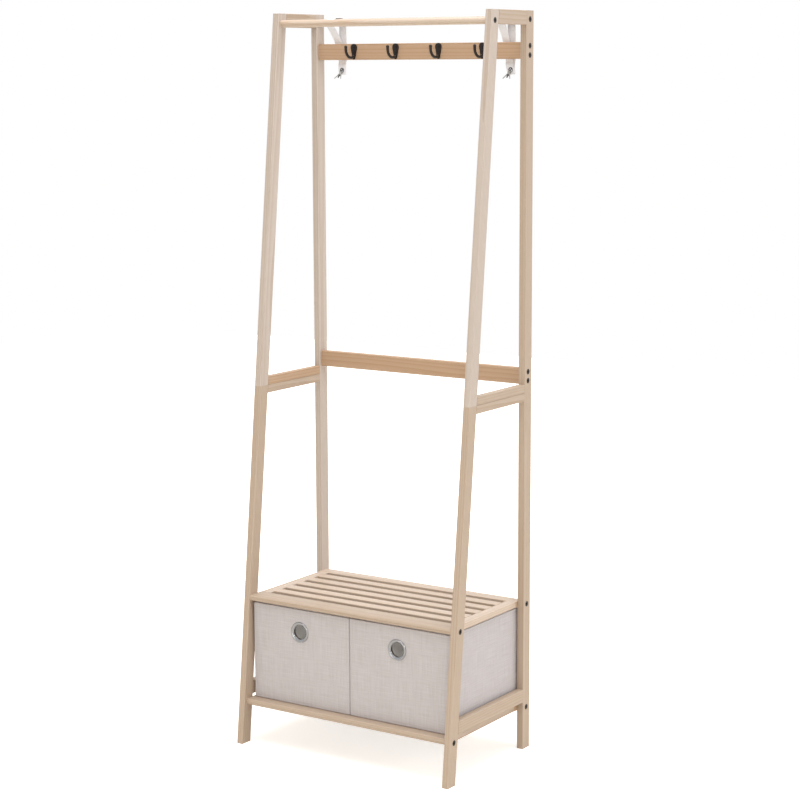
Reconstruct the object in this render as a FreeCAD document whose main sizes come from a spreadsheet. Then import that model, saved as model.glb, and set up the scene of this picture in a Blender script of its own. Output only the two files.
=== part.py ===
"""An open frame wardrobe in pale wood: two leaning side frames in halves, rods, a hook rail, a slatted shelf
and two fabric boxes.

Millimetres. X runs to the right, Y to the back, Z up. The origin is on the floor, in the middle of the feet.
"""
import FreeCAD, Part
import itertools
import math
import os
import re

import Sketcher
from FreeCAD import Placement, Rotation, Vector

SIZES = {
    # the whole rack
    "overall_width": 600,
    "overall_height": 1730,
    "overall_depth": 365,
    "top_depth": 183,
    # side frames
    "leg_width": 16.5,
    "leg_depth": 32,
    "joint_height": 858,
    "top_rail_height": 32,
    "mid_rail_height": 19.5,
    "side_board_bottom": 115,
    "side_board_height": 32,
    "edge_round": 1.5,
    # rods and back rails
    "rod_diameter": 17,
    "front_rod_drop": 24,
    "rear_rod_drop": 19.5,
    "hook_rail_drop": 70,
    "mid_back_rail_rise": 57,
    "back_rail_height": 38,
    "back_rail_thickness": 16,
    # slatted shelf
    "shelf_height": 360,
    "shelf_thickness": 14,
    "shelf_front_width": 46,
    "shelf_back_width": 33,
    "shelf_back_setback": 8.5,
    "shelf_side_width": 25.5,
    "slat_gap": 18,
    "nose_round": 5.5,
    # bottom shelf
    "bottom_rail_height": 108.5,
    "bottom_rail_thickness": 15,
    "bottom_rail_width": 45,
    "bottom_side_width": 25.5,
    "bottom_setback": 9,
    # frame bolts and the threaded inserts that take them
    "bolt_shank": 6,
    "bolt_head": 13,
    "bolt_head_height": 3,
    "bolt_sink": 0.5,
    "bolt_length": 40,
    "bolt_pitch": 21,
    "bolt_socket": 5,
    "bolt_socket_depth": 2,
    "insert_diameter": 9,
    "insert_length": 20,
    # wooden dowels and the pins between the leg halves
    "dowel_diameter": 8,
    "dowel_in_leg": 8,
    "dowel_in_rail": 22,
    "shelf_dowel_diameter": 6,
    "shelf_dowel_length": 24,
    "leg_pin_diameter": 8,
    "leg_pin_length": 40,
    # coat hooks and their screws
    "hook_margin": 104.25,
    "hook_plate_width": 17,
    "hook_foot_width": 7,
    "hook_height": 37,
    "hook_plate_thickness": 2.5,
    "hook_wire": 6.4,
    "hook_bow_radius": 21,
    "hook_bow_back": 10,
    "hook_bow_lift": 1,
    "hook_root": 7.6,
    "hook_rise": 4,
    "hook_knob": 7.6,
    "hook_screw_shank": 3.5,
    "hook_screw_length": 14,
    "hook_screw_head": 6.5,
    "hook_screw_head_height": 1.6,
    "hook_screw_slot": 1,
    "hook_screw_slot_depth": 0.8,
    "hook_screw_pitch": 12,
    # anti-tip straps, their grommets, wall screws and plugs
    "strap_width": 20,
    "strap_thickness": 1,
    "strap_left_inset": 60.5,
    "strap_right_inset": 36.5,
    "strap_hang": 35,
    "strap_tail": 24,
    "strap_tail_set": 5,
    "strap_drop": 3,
    "grommet_rise": 11,
    "grommet_outer": 11,
    "grommet_hole": 8,
    "grommet_wall": 0.6,
    "grommet_flange": 0.5,
    "wall_screw_shank": 3,
    "wall_screw_length": 32,
    "wall_screw_head": 9,
    "wall_screw_head_height": 2,
    "plug_collar": 8.5,
    "plug_collar_height": 1.5,
    "plug_sleeve": 6.8,
    "plug_sleeve_length": 10,
    "plug_leg": 3,
    "plug_leg_length": 16,
    "plug_leg_lap": 3,
    "plug_tip": 1.8,
    # fabric boxes
    "box_left_slack": 5.7,
    "box_right_slack": 5.5,
    "box_gap": 2.4,
    "box_front_setback": 27,
    "box_back_setback": 18.4,
    "box_headroom": 4.5,
    "cover_thickness": 1.2,
    "board_thickness": 3,
    "lining_thickness": 0.8,
    "base_board_slack": 1,
    "eyelet_outer": 50,
    "eyelet_hole": 35,
    "eyelet_wall": 1,
    "eyelet_proud": 2.4,
    "eyelet_bevel": 1.2,
    "eyelet_drop": 54.2,
    "eyelet_left_offset": 3,
    "eyelet_right_offset": 6,
    "eyelet_washer": 1,
    "eyelet_turn": 1.6,
    # clearances
    "fit_gap": 0.15,
    "rest_gap": 0.3,
    "overrun": 1,
}
SLAT_COUNT = 5
HOOK_COUNT = 4
SIDES = ("left", "right")

doc = FreeCAD.newDocument("open_frame_wardrobe")
sheet = doc.addObject("Spreadsheet::Sheet", "sizes")
for row, (alias, size) in enumerate(SIZES.items(), start=1):
    sheet.set(f"A{row}", str(size))
    sheet.setAlias(f"A{row}", alias)
doc.recompute()

subparts = {}


# Formulas, placing and plain solids

def on_sheet(formula):
    """The formula with each size read from the sheet."""

    def read(word):
        name = word.group()
        return f"sizes.{name}" if name in SIZES else name

    return re.sub(r"[a-z_]+", read, formula)


def bind(thing, formulas):
    """Ties each named property to its formula."""
    for name, formula in formulas.items():
        thing.setExpression(name, on_sheet(formula))


def put(thing, x, y, z):
    """Ties the place of a thing's own origin to three formulas."""
    bind(thing, {"Placement.Base.x": x, "Placement.Base.y": y, "Placement.Base.z": z})


SLOPE = "((overall_depth - top_depth) / overall_height)"
FRONT_LEG_SPAN = f"(leg_depth * sqrt(1 + {SLOPE} ^ 2))"
INNER_HALF = "(overall_width / 2 - leg_width)"
REAR_FACE = "(overall_depth / 2 - leg_depth)"
REAR_MIDDLE = "(overall_depth / 2 - leg_depth / 2)"
FRONT_ROD_HEIGHT = "(overall_height - front_rod_drop)"
REAR_ROD_HEIGHT = "(overall_height - rear_rod_drop)"
HOOK_RAIL_TOP = "(overall_height - hook_rail_drop)"
MID_BACK_RAIL_TOP = "(joint_height + mid_back_rail_rise)"
LEFTWARD = {"left": "-", "right": ""}
PLUG_SPLAY = 25
TURNS = {
    "+x": Rotation(Vector(0, 1, 0), 90),
    "-x": Rotation(Vector(0, 1, 0), -90),
    "+y": Rotation(Vector(1, 0, 0), -90),
    "-y": Rotation(Vector(1, 0, 0), 90),
    "+z": Rotation(),
    "-z": Rotation(Vector(1, 0, 0), 180),
    "left splay": Rotation(Vector(0, 1, 0), -PLUG_SPLAY),
    "right splay": Rotation(Vector(0, 1, 0), PLUG_SPLAY),
}

# The wall screws droop as far as the grommet's hole lets them
TAIL_STACK = "(2 * strap_thickness + rest_gap)"
GROMMET_LENGTH = f"({TAIL_STACK} + 2 * grommet_flange)"
GROMMET_ROOM = "(grommet_hole - 2 * rest_gap)"
DROOP = (
    f"(acos(wall_screw_shank / sqrt({GROMMET_ROOM} ^ 2 + {GROMMET_LENGTH} ^ 2))"
    f" - atan({GROMMET_LENGTH} / {GROMMET_ROOM}))"
)
TURNS_ABOUT_X = {
    "lean": f"-atan({SLOPE})",
    "droop": f"90 deg + {DROOP}",
}


def leg_front(height):
    """Where the front legs' front face is at a height: it leans back on a straight line."""
    return f"({SLOPE} * ({height}) - overall_depth / 2)"


def leg_back(height):
    return f"({leg_front(height)} + {FRONT_LEG_SPAN})"


def leg_middle(leg, height):
    """The middle of a leg's depth at a height."""
    return f"({leg_front(height)} + {FRONT_LEG_SPAN} / 2)" if leg == "front" else REAR_MIDDLE


def turned(thing, axis):
    """Turns a thing's own Z along an axis, a plug's splay, the front legs' lean or the wall screws' droop."""
    if axis in TURNS:
        thing.Placement = Placement(Vector(), TURNS[axis])
    else:
        thing.Placement = Placement(Vector(), Rotation(Vector(1, 0, 0), 1))
        bind(thing, {"Placement.Rotation.Angle": TURNS_ABOUT_X[axis]})


def solid(kind, name, sizes, place, axis="+z"):
    """A primitive with its sizes and its place tied to formulas."""
    thing = doc.addObject("Part::" + kind, name)
    bind(thing, sizes)
    turned(thing, axis)
    put(thing, *place)
    return thing


def cylinder(name, diameter, length, place, axis):
    return solid("Cylinder", name, {"Radius": f"({diameter}) / 2", "Height": length}, place, axis)


def block(name, place, length, width, height):
    return solid("Box", name, {"Length": length, "Width": width, "Height": height}, place)


def fused(name, pieces):
    thing = doc.addObject("Part::MultiFuse", name)
    thing.Shapes = pieces
    return thing


def cut(name, base, tools):
    """The base with the tools taken out."""
    thing = doc.addObject("Part::Cut", name)
    thing.Base = base
    thing.Tool = tools[0] if len(tools) == 1 else fused(name + "_tools", tools)
    return thing


def subpart(label, thing):
    thing.Label = label
    subparts[label] = thing


def group(label, pieces):
    """Like small pieces that share one node, each still a solid of its own."""
    thing = doc.addObject("Part::Compound", label + "_set")
    thing.Links = pieces
    subpart(label, thing)


# Sketched pieces

def sketch_on(body, role):
    sketch = body.newObject("Sketcher::SketchObject", body.Name + "_outline")
    plane = next(feature for feature in body.Origin.OriginFeatures if feature.Role == role)
    sketch.AttachmentSupport = [(plane, "")]
    sketch.MapMode = "FlatFace"
    return sketch


def polygon(sketch, corners):
    """Straight lines through the corners, each corner's two coordinates tied to a formula."""
    count = len(corners)
    turns = [2 * math.pi * i / count for i in range(count)]
    rough = [Vector(math.cos(turn), math.sin(turn)) for turn in turns]
    for i in range(count):
        sketch.addGeometry(Part.LineSegment(rough[i], rough[(i + 1) % count]))
    for i in range(count):
        sketch.addConstraint(Sketcher.Constraint("Coincident", i, 2, (i + 1) % count, 1))
    for i, corner in enumerate(corners):
        for axis, zero_line, formula in zip("XY", (-2, -1), corner):
            if formula == "0":
                sketch.addConstraint(Sketcher.Constraint("PointOnObject", i, 1, zero_line))
            else:
                tie = sketch.addConstraint(Sketcher.Constraint("Distance" + axis, -1, 1, i, 1, 1))
                bind(sketch, {f"Constraints[{tie}]": formula})


def padded(body, sketch, length):
    pad = body.newObject("PartDesign::Pad", body.Name + "_pad")
    pad.Profile = sketch
    bind(pad, {"Length": length})
    doc.recompute()
    return pad


def rounded(body, feature, edges, radius, name):
    """A fillet on the edges that the test picks."""
    fillet = body.newObject("PartDesign::Fillet", f"{body.Name}_{name}")
    picked = [f"Edge{i}" for i, edge in enumerate(feature.Shape.Edges, start=1) if edges(edge)]
    fillet.Base = (feature, picked)
    bind(fillet, {"Radius": radius})
    doc.recompute()
    return fillet


def timber(name, outline, thickness, place, nosed=False):
    """A length of planed wood: an outline in the YZ plane, padded along X, with its long edges eased. A nosed
    one has its two front edges rounded over."""
    body = doc.addObject("PartDesign::Body", name + "_timber")
    sketch = sketch_on(body, "YZ_Plane")
    polygon(sketch, outline)
    feature = padded(body, sketch, thickness)
    middle = feature.Shape.BoundBox.Center
    longest = max(edge.Length for edge in feature.Shape.Edges)

    def along(edge):
        return edge.Length > longest / 2

    def at_front(edge):
        return along(edge) and edge.CenterOfMass.y < middle.y

    def others(edge):
        return along(edge) and not at_front(edge)

    feature = rounded(body, feature, others if nosed else along, "edge_round", "ease")
    if nosed:
        rounded(body, feature, at_front, "nose_round", "nose")
    put(body, *place)
    return body


def rectangle(width, height):
    return [("0", "0"), (width, "0"), (width, height), ("0", height)]


# Where the frame bolts cross each side frame: leg, half of the leg, height, and the rail or rod they draw up

def rail_pair(top):
    """The heights of the two bolts at an end of a back rail."""
    return [f"({top} - back_rail_height / 2 {sign} bolt_pitch / 2)" for sign in "+-"]


SHELF_MIDDLE = "(shelf_height - shelf_thickness / 2)"
BOTTOM_MIDDLE = "(bottom_rail_height - bottom_rail_thickness / 2)"
BOLTS = [
    ("front", "upper", FRONT_ROD_HEIGHT, "front_hanging_rod"),
    ("rear", "upper", REAR_ROD_HEIGHT, "rear_top_rod"),
    *[("rear", "upper", height, "hook_rail") for height in rail_pair(HOOK_RAIL_TOP)],
    *[("rear", "upper", height, "mid_back_rail") for height in rail_pair(MID_BACK_RAIL_TOP)],
    ("front", "lower", SHELF_MIDDLE, "shelf_front_rail"),
    ("rear", "lower", SHELF_MIDDLE, "shelf_back_rail"),
    ("front", "lower", BOTTOM_MIDDLE, "bottom_front_rail"),
    ("rear", "lower", BOTTOM_MIDDLE, "bottom_back_rail"),
]
INWARD = {"left": "+x", "right": "-x"}


def inward(side, depth):
    """The X that lies so deep under a side frame's outer face."""
    return f"-(overall_width / 2 - ({depth}))" if side == "left" else f"(overall_width / 2 - ({depth}))"


def bolt_bores(name, side, leg, height):
    """Through hole and counterbore in a leg."""
    y = leg_middle(leg, height)
    through = cylinder(
        name + "_hole", "bolt_shank + 2 * fit_gap", "leg_width + 2 * overrun",
        (inward(side, "-overrun"), y, height), INWARD[side],
    )
    sink = cylinder(
        name + "_sink", "bolt_head + 2 * fit_gap", "bolt_sink + bolt_head_height + overrun",
        (inward(side, "-overrun"), y, height), INWARD[side],
    )
    return [through, sink]


def insert_bore(name, side, leg, height):
    """The bore in a rail's end: room for the insert and for the bolt's tip."""
    return cylinder(
        name + "_bore", "insert_diameter + 2 * fit_gap", "bolt_length + overrun",
        (inward(side, "leg_width - overrun"), leg_middle(leg, height), height), INWARD[side],
    )


def frame_bolt(name, side, leg, height):
    """A socket-head bolt, its head sunk below the leg's outer face."""
    y = leg_middle(leg, height)
    head = cylinder(
        name + "_head", "bolt_head", "bolt_head_height", (inward(side, "bolt_sink"), y, height), INWARD[side],
    )
    shank = cylinder(
        name + "_shank", "bolt_shank", "bolt_head_height + bolt_length",
        (inward(side, "bolt_sink"), y, height), INWARD[side],
    )
    socket = solid(
        "Prism", name + "_socket",
        {"Circumradius": "bolt_socket / sqrt(3)", "Height": "bolt_socket_depth + overrun"},
        (inward(side, "bolt_sink - overrun"), y, height), INWARD[side],
    )
    return cut(name, fused(name + "_solid", [head, shank]), [socket])


def threaded_insert(name, side, leg, height):
    """A sleeve in a rail's end, flush with it."""
    place = (inward(side, "leg_width"), leg_middle(leg, height), height)
    sleeve = cylinder(name + "_sleeve", "insert_diameter", "insert_length", place, INWARD[side])
    thread = cylinder(
        name + "_thread", "bolt_shank + 2 * fit_gap", "insert_length + 2 * overrun",
        (inward(side, "leg_width - overrun"), *place[1:]), INWARD[side],
    )
    return cut(name, sleeve, [thread])


leg_bores = {key: [] for key in itertools.product(("front", "rear"), ("upper", "lower"), SIDES)}
rail_bores = {}
bolts = []
inserts = []
for side in SIDES:
    for number, (leg, half, height, rail) in enumerate(BOLTS, start=1):
        name = f"bolt_{side}_{number}"
        leg_bores[leg, half, side] += bolt_bores(name, side, leg, height)
        rail_bores.setdefault(rail, []).append(insert_bore(name, side, leg, height))
        bolts.append(frame_bolt(name, side, leg, height))
        inserts.append(threaded_insert(f"insert_{side}_{number}", side, leg, height))

# Dowels between the side frames' rails and legs, and pins between the leg halves

TOP_RAIL_BOTTOM = "(overall_height - top_rail_height)"
SIDE_RAILS = {
    "top_side_rail": (
        "upper", TOP_RAIL_BOTTOM, "top_rail_height", ["(overall_height - top_rail_height / 2)"],
    ),
    "upper_mid_rail": ("upper", "joint_height", "mid_rail_height", ["(joint_height + mid_rail_height / 2)"]),
    "lower_mid_rail": (
        "lower", "(joint_height - mid_rail_height)", "mid_rail_height",
        ["(joint_height - mid_rail_height / 2)"],
    ),
    "bottom_side_board": (
        "lower", "side_board_bottom", "side_board_height",
        ["(side_board_bottom + side_board_height / 2)"],
    ),
}
DOWEL_LENGTH = "(dowel_in_leg + dowel_in_rail)"


def side_middle(side):
    return inward(side, "leg_width / 2")


def pin_and_bore(name, diameter, length, place, axis):
    """A pin, and the bore for it, which is wider by the fit and as long."""
    pin = cylinder(name, diameter, length, place, axis)
    bore = cylinder(name + "_bore", f"{diameter} + 2 * fit_gap", length, place, axis)
    return pin, bore


dowels = []
for side in SIDES:
    for rail, (half, bottom, height, levels) in SIDE_RAILS.items():
        for number, level in enumerate(levels, start=1):
            starts = {
                "front": f"({leg_back(level)} - dowel_in_leg)",
                "rear": f"({REAR_FACE} - dowel_in_rail)",
            }
            for leg, start in starts.items():
                pin, bore = pin_and_bore(
                    f"dowel_{rail}_{side}_{leg}_{number}", "dowel_diameter", DOWEL_LENGTH,
                    (side_middle(side), start, level), "+y",
                )
                dowels.append(pin)
                leg_bores[leg, half, side].append(bore)
                rail_bores.setdefault(f"{rail}_{side}", []).append(bore)

for side in SIDES:
    for leg, axis in (("front", "lean"), ("rear", "+z")):
        run = f"leg_pin_length / 2 / sqrt(1 + {SLOPE} ^ 2)" if leg == "front" else "leg_pin_length / 2"
        low = f"(joint_height - {run})"
        pin, bore = pin_and_bore(
            f"leg_pin_{leg}_{side}", "leg_pin_diameter", "leg_pin_length",
            (side_middle(side), leg_middle(leg, low), low), axis,
        )
        dowels.append(pin)
        for half in ("upper", "lower"):
            leg_bores[leg, half, side].append(bore)

# Legs and the rails of the side frames

HALVES = {"upper": ("joint_height", "overall_height - joint_height"), "lower": ("0", "joint_height")}
for side in SIDES:
    left_face = {"left": "-overall_width / 2", "right": INNER_HALF}[side]
    for half, (bottom, height) in HALVES.items():
        lean = f"({SLOPE} * ({height}))"
        label = f"front_leg_{side}_{half}"
        outline = [("0", "0"), (FRONT_LEG_SPAN, "0"), (f"{lean} + {FRONT_LEG_SPAN}", height), (lean, height)]
        leg = timber(label, outline, "leg_width", (left_face, leg_front(bottom), bottom))
        subpart(label, cut(label + "_bored", leg, leg_bores["front", half, side]))
        label = f"rear_upright_{side}_{half}"
        leg = timber(label, rectangle("leg_depth", height), "leg_width", (left_face, REAR_FACE, bottom))
        subpart(label, cut(label + "_bored", leg, leg_bores["rear", half, side]))
    for rail, (half, bottom, height, levels) in SIDE_RAILS.items():
        label = f"{rail}_{side}"
        run = f"({REAR_FACE} - {leg_back(bottom)})"
        outline = [("0", "0"), (run, "0"), (run, height), (f"{SLOPE} * ({height})", height)]
        board = timber(label, outline, "leg_width", (left_face, leg_back(bottom), bottom))
        subpart(label, cut(label + "_bored", board, rail_bores[label]))

# Rods and back rails

rods = {"front_hanging_rod": ("front", FRONT_ROD_HEIGHT), "rear_top_rod": ("rear", REAR_ROD_HEIGHT)}
for label, (leg, height) in rods.items():
    rod = cylinder(
        label + "_bar", "rod_diameter", f"2 * {INNER_HALF}",
        (f"-{INNER_HALF}", leg_middle(leg, height), height), "+x",
    )
    subpart(label, cut(label + "_bored", rod, rail_bores[label]))

BACK_RAIL_FRONT = f"({REAR_MIDDLE} - back_rail_thickness / 2)"
HOOK_SCREW_HEIGHTS = [
    f"({HOOK_RAIL_TOP} - hook_plate_width / 2)",
    f"({HOOK_RAIL_TOP} - hook_plate_width / 2 - hook_screw_pitch)",
]
HOOK_PITCH = f"(2 * ({INNER_HALF} - hook_margin) / {HOOK_COUNT - 1})"
PLATE_FRONT = f"({BACK_RAIL_FRONT} - hook_plate_thickness)"


def hook_x(number):
    """The hooks stand evenly between the margins of their rail."""
    return f"({HOOK_PITCH} * {number - (HOOK_COUNT + 1) / 2})"


hook_places = [
    (number, hook_x(number), i, z)
    for number in range(1, HOOK_COUNT + 1)
    for i, z in enumerate(HOOK_SCREW_HEIGHTS, start=1)
]
rail_bores["hook_rail"] += [
    cylinder(
        f"hook_screw_bore_{number}_{i}", "hook_screw_shank + 2 * fit_gap", "hook_screw_length + overrun",
        (x, PLATE_FRONT, z), "+y",
    )
    for number, x, i, z in hook_places
]
for label, top in (("hook_rail", HOOK_RAIL_TOP), ("mid_back_rail", MID_BACK_RAIL_TOP)):
    board = timber(
        label, rectangle("back_rail_thickness", "back_rail_height"), f"2 * {INNER_HALF}",
        (f"-{INNER_HALF}", BACK_RAIL_FRONT, f"{top} - back_rail_height"),
    )
    subpart(label, cut(label + "_bored", board, rail_bores[label]))

# Side rails of the two shelves, each held between a front and a back rail by dowels

def side_rail_dowels(shelf, side, width, start, end, level):
    x = f"{LEFTWARD[side]}({INNER_HALF} - {width} / 2)"
    for rail, y in (("front", start), ("back", end)):
        pin, bore = pin_and_bore(
            f"{shelf}_dowel_{side}_{rail}", "shelf_dowel_diameter", "shelf_dowel_length",
            (x, f"{y} - shelf_dowel_length / 2", level), "+y",
        )
        dowels.append(pin)
        rail_bores[f"{shelf}_{rail}_rail"].append(bore)
        rail_bores.setdefault(f"{shelf}_side_rail_{side}", []).append(bore)


def cross_rail(label, front, width, bottom, thickness, nosed):
    """A board from leg to leg."""
    board = timber(
        label, rectangle(width, thickness), f"2 * {INNER_HALF}", (f"-{INNER_HALF}", front, bottom), nosed,
    )
    subpart(label, cut(label + "_bored", board, rail_bores[label]))


def side_rail(shelf, side, width, start, end, bottom, thickness):
    label = f"{shelf}_side_rail_{side}"
    left_face = {"left": f"-{INNER_HALF}", "right": f"({INNER_HALF} - {width})"}[side]
    board = timber(label, rectangle(f"{end} - {start}", thickness), width, (left_face, start, bottom))
    subpart(label, cut(label + "_bored", board, rail_bores[label]))


# Slatted shelf: its front edge is flush with the front legs, its back edge stands in from the uprights' backs

SHELF_FRONT = leg_front("shelf_height")
SHELF_BOTTOM = "(shelf_height - shelf_thickness)"
SIDE_RAIL_START = f"({SHELF_FRONT} + shelf_front_width)"
SIDE_RAIL_END = "(overall_depth / 2 - shelf_back_setback - shelf_back_width)"
SLAT_WIDTH = f"(({SIDE_RAIL_END} - {SIDE_RAIL_START} - {SLAT_COUNT + 1} * slat_gap) / {SLAT_COUNT})"
SLAT_HALF = f"({INNER_HALF} - shelf_side_width)"


def slat_start(number):
    return f"({SIDE_RAIL_START} + slat_gap * {number} + {SLAT_WIDTH} * {number - 1})"


for side in SIDES:
    side_rail_dowels("shelf", side, "shelf_side_width", SIDE_RAIL_START, SIDE_RAIL_END, SHELF_MIDDLE)
    for number in range(1, SLAT_COUNT + 1):
        pin, bore = pin_and_bore(
            f"slat_dowel_{side}_{number}", "shelf_dowel_diameter", "shelf_dowel_length",
            (
                f"{LEFTWARD[side]}{SLAT_HALF} - shelf_dowel_length / 2",
                f"{slat_start(number)} + {SLAT_WIDTH} / 2",
                SHELF_MIDDLE,
            ),
            "+x",
        )
        dowels.append(pin)
        rail_bores[f"shelf_side_rail_{side}"].append(bore)
        rail_bores.setdefault(f"shelf_slat_{number}", []).append(bore)

cross_rail("shelf_front_rail", SHELF_FRONT, "shelf_front_width", SHELF_BOTTOM, "shelf_thickness", True)
cross_rail("shelf_back_rail", SIDE_RAIL_END, "shelf_back_width", SHELF_BOTTOM, "shelf_thickness", False)
for side in SIDES:
    side_rail(
        "shelf", side, "shelf_side_width", SIDE_RAIL_START, SIDE_RAIL_END, SHELF_BOTTOM, "shelf_thickness",
    )
for number in range(1, SLAT_COUNT + 1):
    label = f"shelf_slat_{number}"
    board = timber(
        label, rectangle(SLAT_WIDTH, "shelf_thickness"), f"2 * {SLAT_HALF}",
        (f"-{SLAT_HALF}", slat_start(number), SHELF_BOTTOM),
    )
    subpart(label, cut(label + "_bored", board, rail_bores[label]))

# Bottom shelf, an open frame that carries the boxes

BOTTOM_FRONT = f"({leg_front(BOTTOM_MIDDLE)} + bottom_setback)"
BOTTOM_LOW = "(bottom_rail_height - bottom_rail_thickness)"
BOTTOM_SIDE_START = f"({BOTTOM_FRONT} + bottom_rail_width)"
BOTTOM_SIDE_END = "(overall_depth / 2 - bottom_rail_width)"
for side in SIDES:
    side_rail_dowels("bottom", side, "bottom_side_width", BOTTOM_SIDE_START, BOTTOM_SIDE_END, BOTTOM_MIDDLE)
    side_rail(
        "bottom", side, "bottom_side_width", BOTTOM_SIDE_START, BOTTOM_SIDE_END, BOTTOM_LOW,
        "bottom_rail_thickness",
    )
cross_rail("bottom_front_rail", BOTTOM_FRONT, "bottom_rail_width", BOTTOM_LOW, "bottom_rail_thickness", True)
cross_rail(
    "bottom_back_rail", BOTTOM_SIDE_END, "bottom_rail_width", BOTTOM_LOW, "bottom_rail_thickness", False,
)

group("frame_bolts", bolts)
group("threaded_inserts", inserts)
group("wooden_dowels", dowels)

# Coat hooks: a tapering plate against the rail, and a wire that bows forward and up from its foot to a knob

BOW_Y = f"({BACK_RAIL_FRONT} - hook_root / 2 - hook_bow_back)"
BOW_Z = f"({HOOK_RAIL_TOP} - hook_height + hook_bow_lift + hook_wire / 2 + hook_bow_radius)"


def hook_plate(name, x):
    """A plate whose round top and smaller round foot are joined by two tangent lines."""
    body = doc.addObject("PartDesign::Body", name + "_plate")
    sketch = sketch_on(body, "XZ_Plane")
    large = SIZES["hook_plate_width"] / 2
    small = SIZES["hook_foot_width"] / 2
    drop = SIZES["hook_height"] - large - small
    tilt = math.asin((large - small) / drop)
    centres = (Vector(0, small + drop), Vector(0, small))
    ends = [
        [centre + Vector(sign * radius * math.cos(tilt), -radius * math.sin(tilt)) for sign in (1, -1)]
        for centre, radius in zip(centres, (large, small))
    ]
    top, foot = [Part.Circle(centre, Vector(0, 0, 1), r) for centre, r in zip(centres, (large, small))]
    sketch.addGeometry(Part.ArcOfCircle(top, -tilt, math.pi + tilt))
    sketch.addGeometry(Part.LineSegment(ends[0][1], ends[1][1]))
    sketch.addGeometry(Part.ArcOfCircle(foot, math.pi + tilt, 2 * math.pi - tilt))
    sketch.addGeometry(Part.LineSegment(ends[1][0], ends[0][0]))
    for i in range(4):
        sketch.addConstraint(Sketcher.Constraint("Tangent", i, 2, (i + 1) % 4, 1))
    rounds = (
        (0, large, "hook_plate_width / 2", "hook_height - hook_plate_width / 2"),
        (2, small, "hook_foot_width / 2", "hook_foot_width / 2"),
    )
    for arc, radius, radius_formula, level in rounds:
        sketch.addConstraint(Sketcher.Constraint("PointOnObject", arc, 3, -2))
        size = sketch.addConstraint(Sketcher.Constraint("Radius", arc, radius))
        lift = sketch.addConstraint(Sketcher.Constraint("DistanceY", -1, 1, arc, 3, small))
        bind(sketch, {f"Constraints[{size}]": radius_formula, f"Constraints[{lift}]": level})
    padded(body, sketch, "hook_plate_thickness")
    put(body, x, BACK_RAIL_FRONT, f"{HOOK_RAIL_TOP} - hook_height")
    return body


def coat_hook(number):
    name = f"hook_{number}"
    x = hook_x(number)
    bow = solid(
        "Torus", name + "_bow",
        {
            "Radius1": "hook_bow_radius",
            "Radius2": "hook_wire / 2",
            "Angle3": "90 deg + asin(hook_bow_back / hook_bow_radius)",
        },
        (x, BOW_Y, BOW_Z),
    )
    bow.Placement.Rotation = Rotation(Vector(0, -1, 0), Vector(0, 0, -1), Vector(1, 0, 0), "XYZ")
    root = solid(
        "Sphere", name + "_root", {"Radius": "hook_root / 2"},
        (x, f"{BOW_Y} + hook_bow_back", f"{BOW_Z} - sqrt(hook_bow_radius ^ 2 - hook_bow_back ^ 2)"),
    )
    tip_y = f"({BOW_Y} - hook_bow_radius)"
    rise = cylinder(name + "_rise", "hook_wire", "hook_rise", (x, tip_y, BOW_Z), "+z")
    knob = solid("Sphere", name + "_knob", {"Radius": "hook_knob / 2"}, (x, tip_y, f"{BOW_Z} + hook_rise"))
    screw_holes = [
        cylinder(
            f"{name}_hole_{i}", "hook_screw_shank + 2 * fit_gap", "hook_plate_thickness + 2 * overrun",
            (x, f"{PLATE_FRONT} - overrun", z), "+y",
        )
        for i, z in enumerate(HOOK_SCREW_HEIGHTS, 1)
    ]
    return cut(name, fused(name + "_solid", [hook_plate(name, x), bow, root, rise, knob]), screw_holes)


def hook_screw(name, x, z):
    """A slotted screw through the plate into the rail."""
    shank = cylinder(name + "_shank", "hook_screw_shank", "hook_screw_length", (x, PLATE_FRONT, z), "+y")
    head = cylinder(name + "_head", "hook_screw_head", "hook_screw_head_height", (x, PLATE_FRONT, z), "-y")
    slot = block(
        name + "_slot",
        (
            f"{x} - hook_screw_head / 2 - overrun",
            f"{PLATE_FRONT} - hook_screw_head_height - overrun",
            f"{z} - hook_screw_slot / 2",
        ),
        "hook_screw_head + 2 * overrun", "hook_screw_slot_depth + overrun", "hook_screw_slot",
    )
    return cut(name, fused(name + "_solid", [shank, head]), [slot])


for number in range(1, HOOK_COUNT + 1):
    subpart(f"coat_hook_{number}", coat_hook(number))
group("hook_screws", [hook_screw(f"hook_screw_{number}_{i}", x, z) for number, x, i, z in hook_places])

# Anti-tip straps: webbing doubled over the rear rod and down behind the hook rail, a grommet near its ends

RAIL_BACK = f"({REAR_MIDDLE} + back_rail_thickness / 2)"
RAIL_BOTTOM = f"({HOOK_RAIL_TOP} - back_rail_height)"
ROD_REACH = "(rod_diameter / 2 + rest_gap)"
LEAF_STEP = "(strap_thickness + rest_gap)"
BEHIND_RAIL = f"({RAIL_BACK} + rest_gap)"
TAIL_FRONT = f"({BEHIND_RAIL} - strap_tail_set)"
TAIL_END = f"({RAIL_BOTTOM} - strap_hang)"
TAIL_TOP = f"({TAIL_END} + strap_tail)"
GROMMET_BARREL = "(grommet_hole + 2 * grommet_wall)"
GROMMET_Z = f"({TAIL_END} + grommet_rise)"
FRONT_LEAF = [
    (f"{REAR_MIDDLE} - {ROD_REACH} - strap_thickness", REAR_ROD_HEIGHT),
    (f"{REAR_MIDDLE} - {ROD_REACH} - strap_thickness", f"{REAR_ROD_HEIGHT} - strap_drop"),
    (BEHIND_RAIL, f"{HOOK_RAIL_TOP} + strap_drop"),
    (BEHIND_RAIL, f"{RAIL_BOTTOM} - strap_drop"),
    (TAIL_FRONT, TAIL_TOP),
    (TAIL_FRONT, TAIL_END),
]
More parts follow.
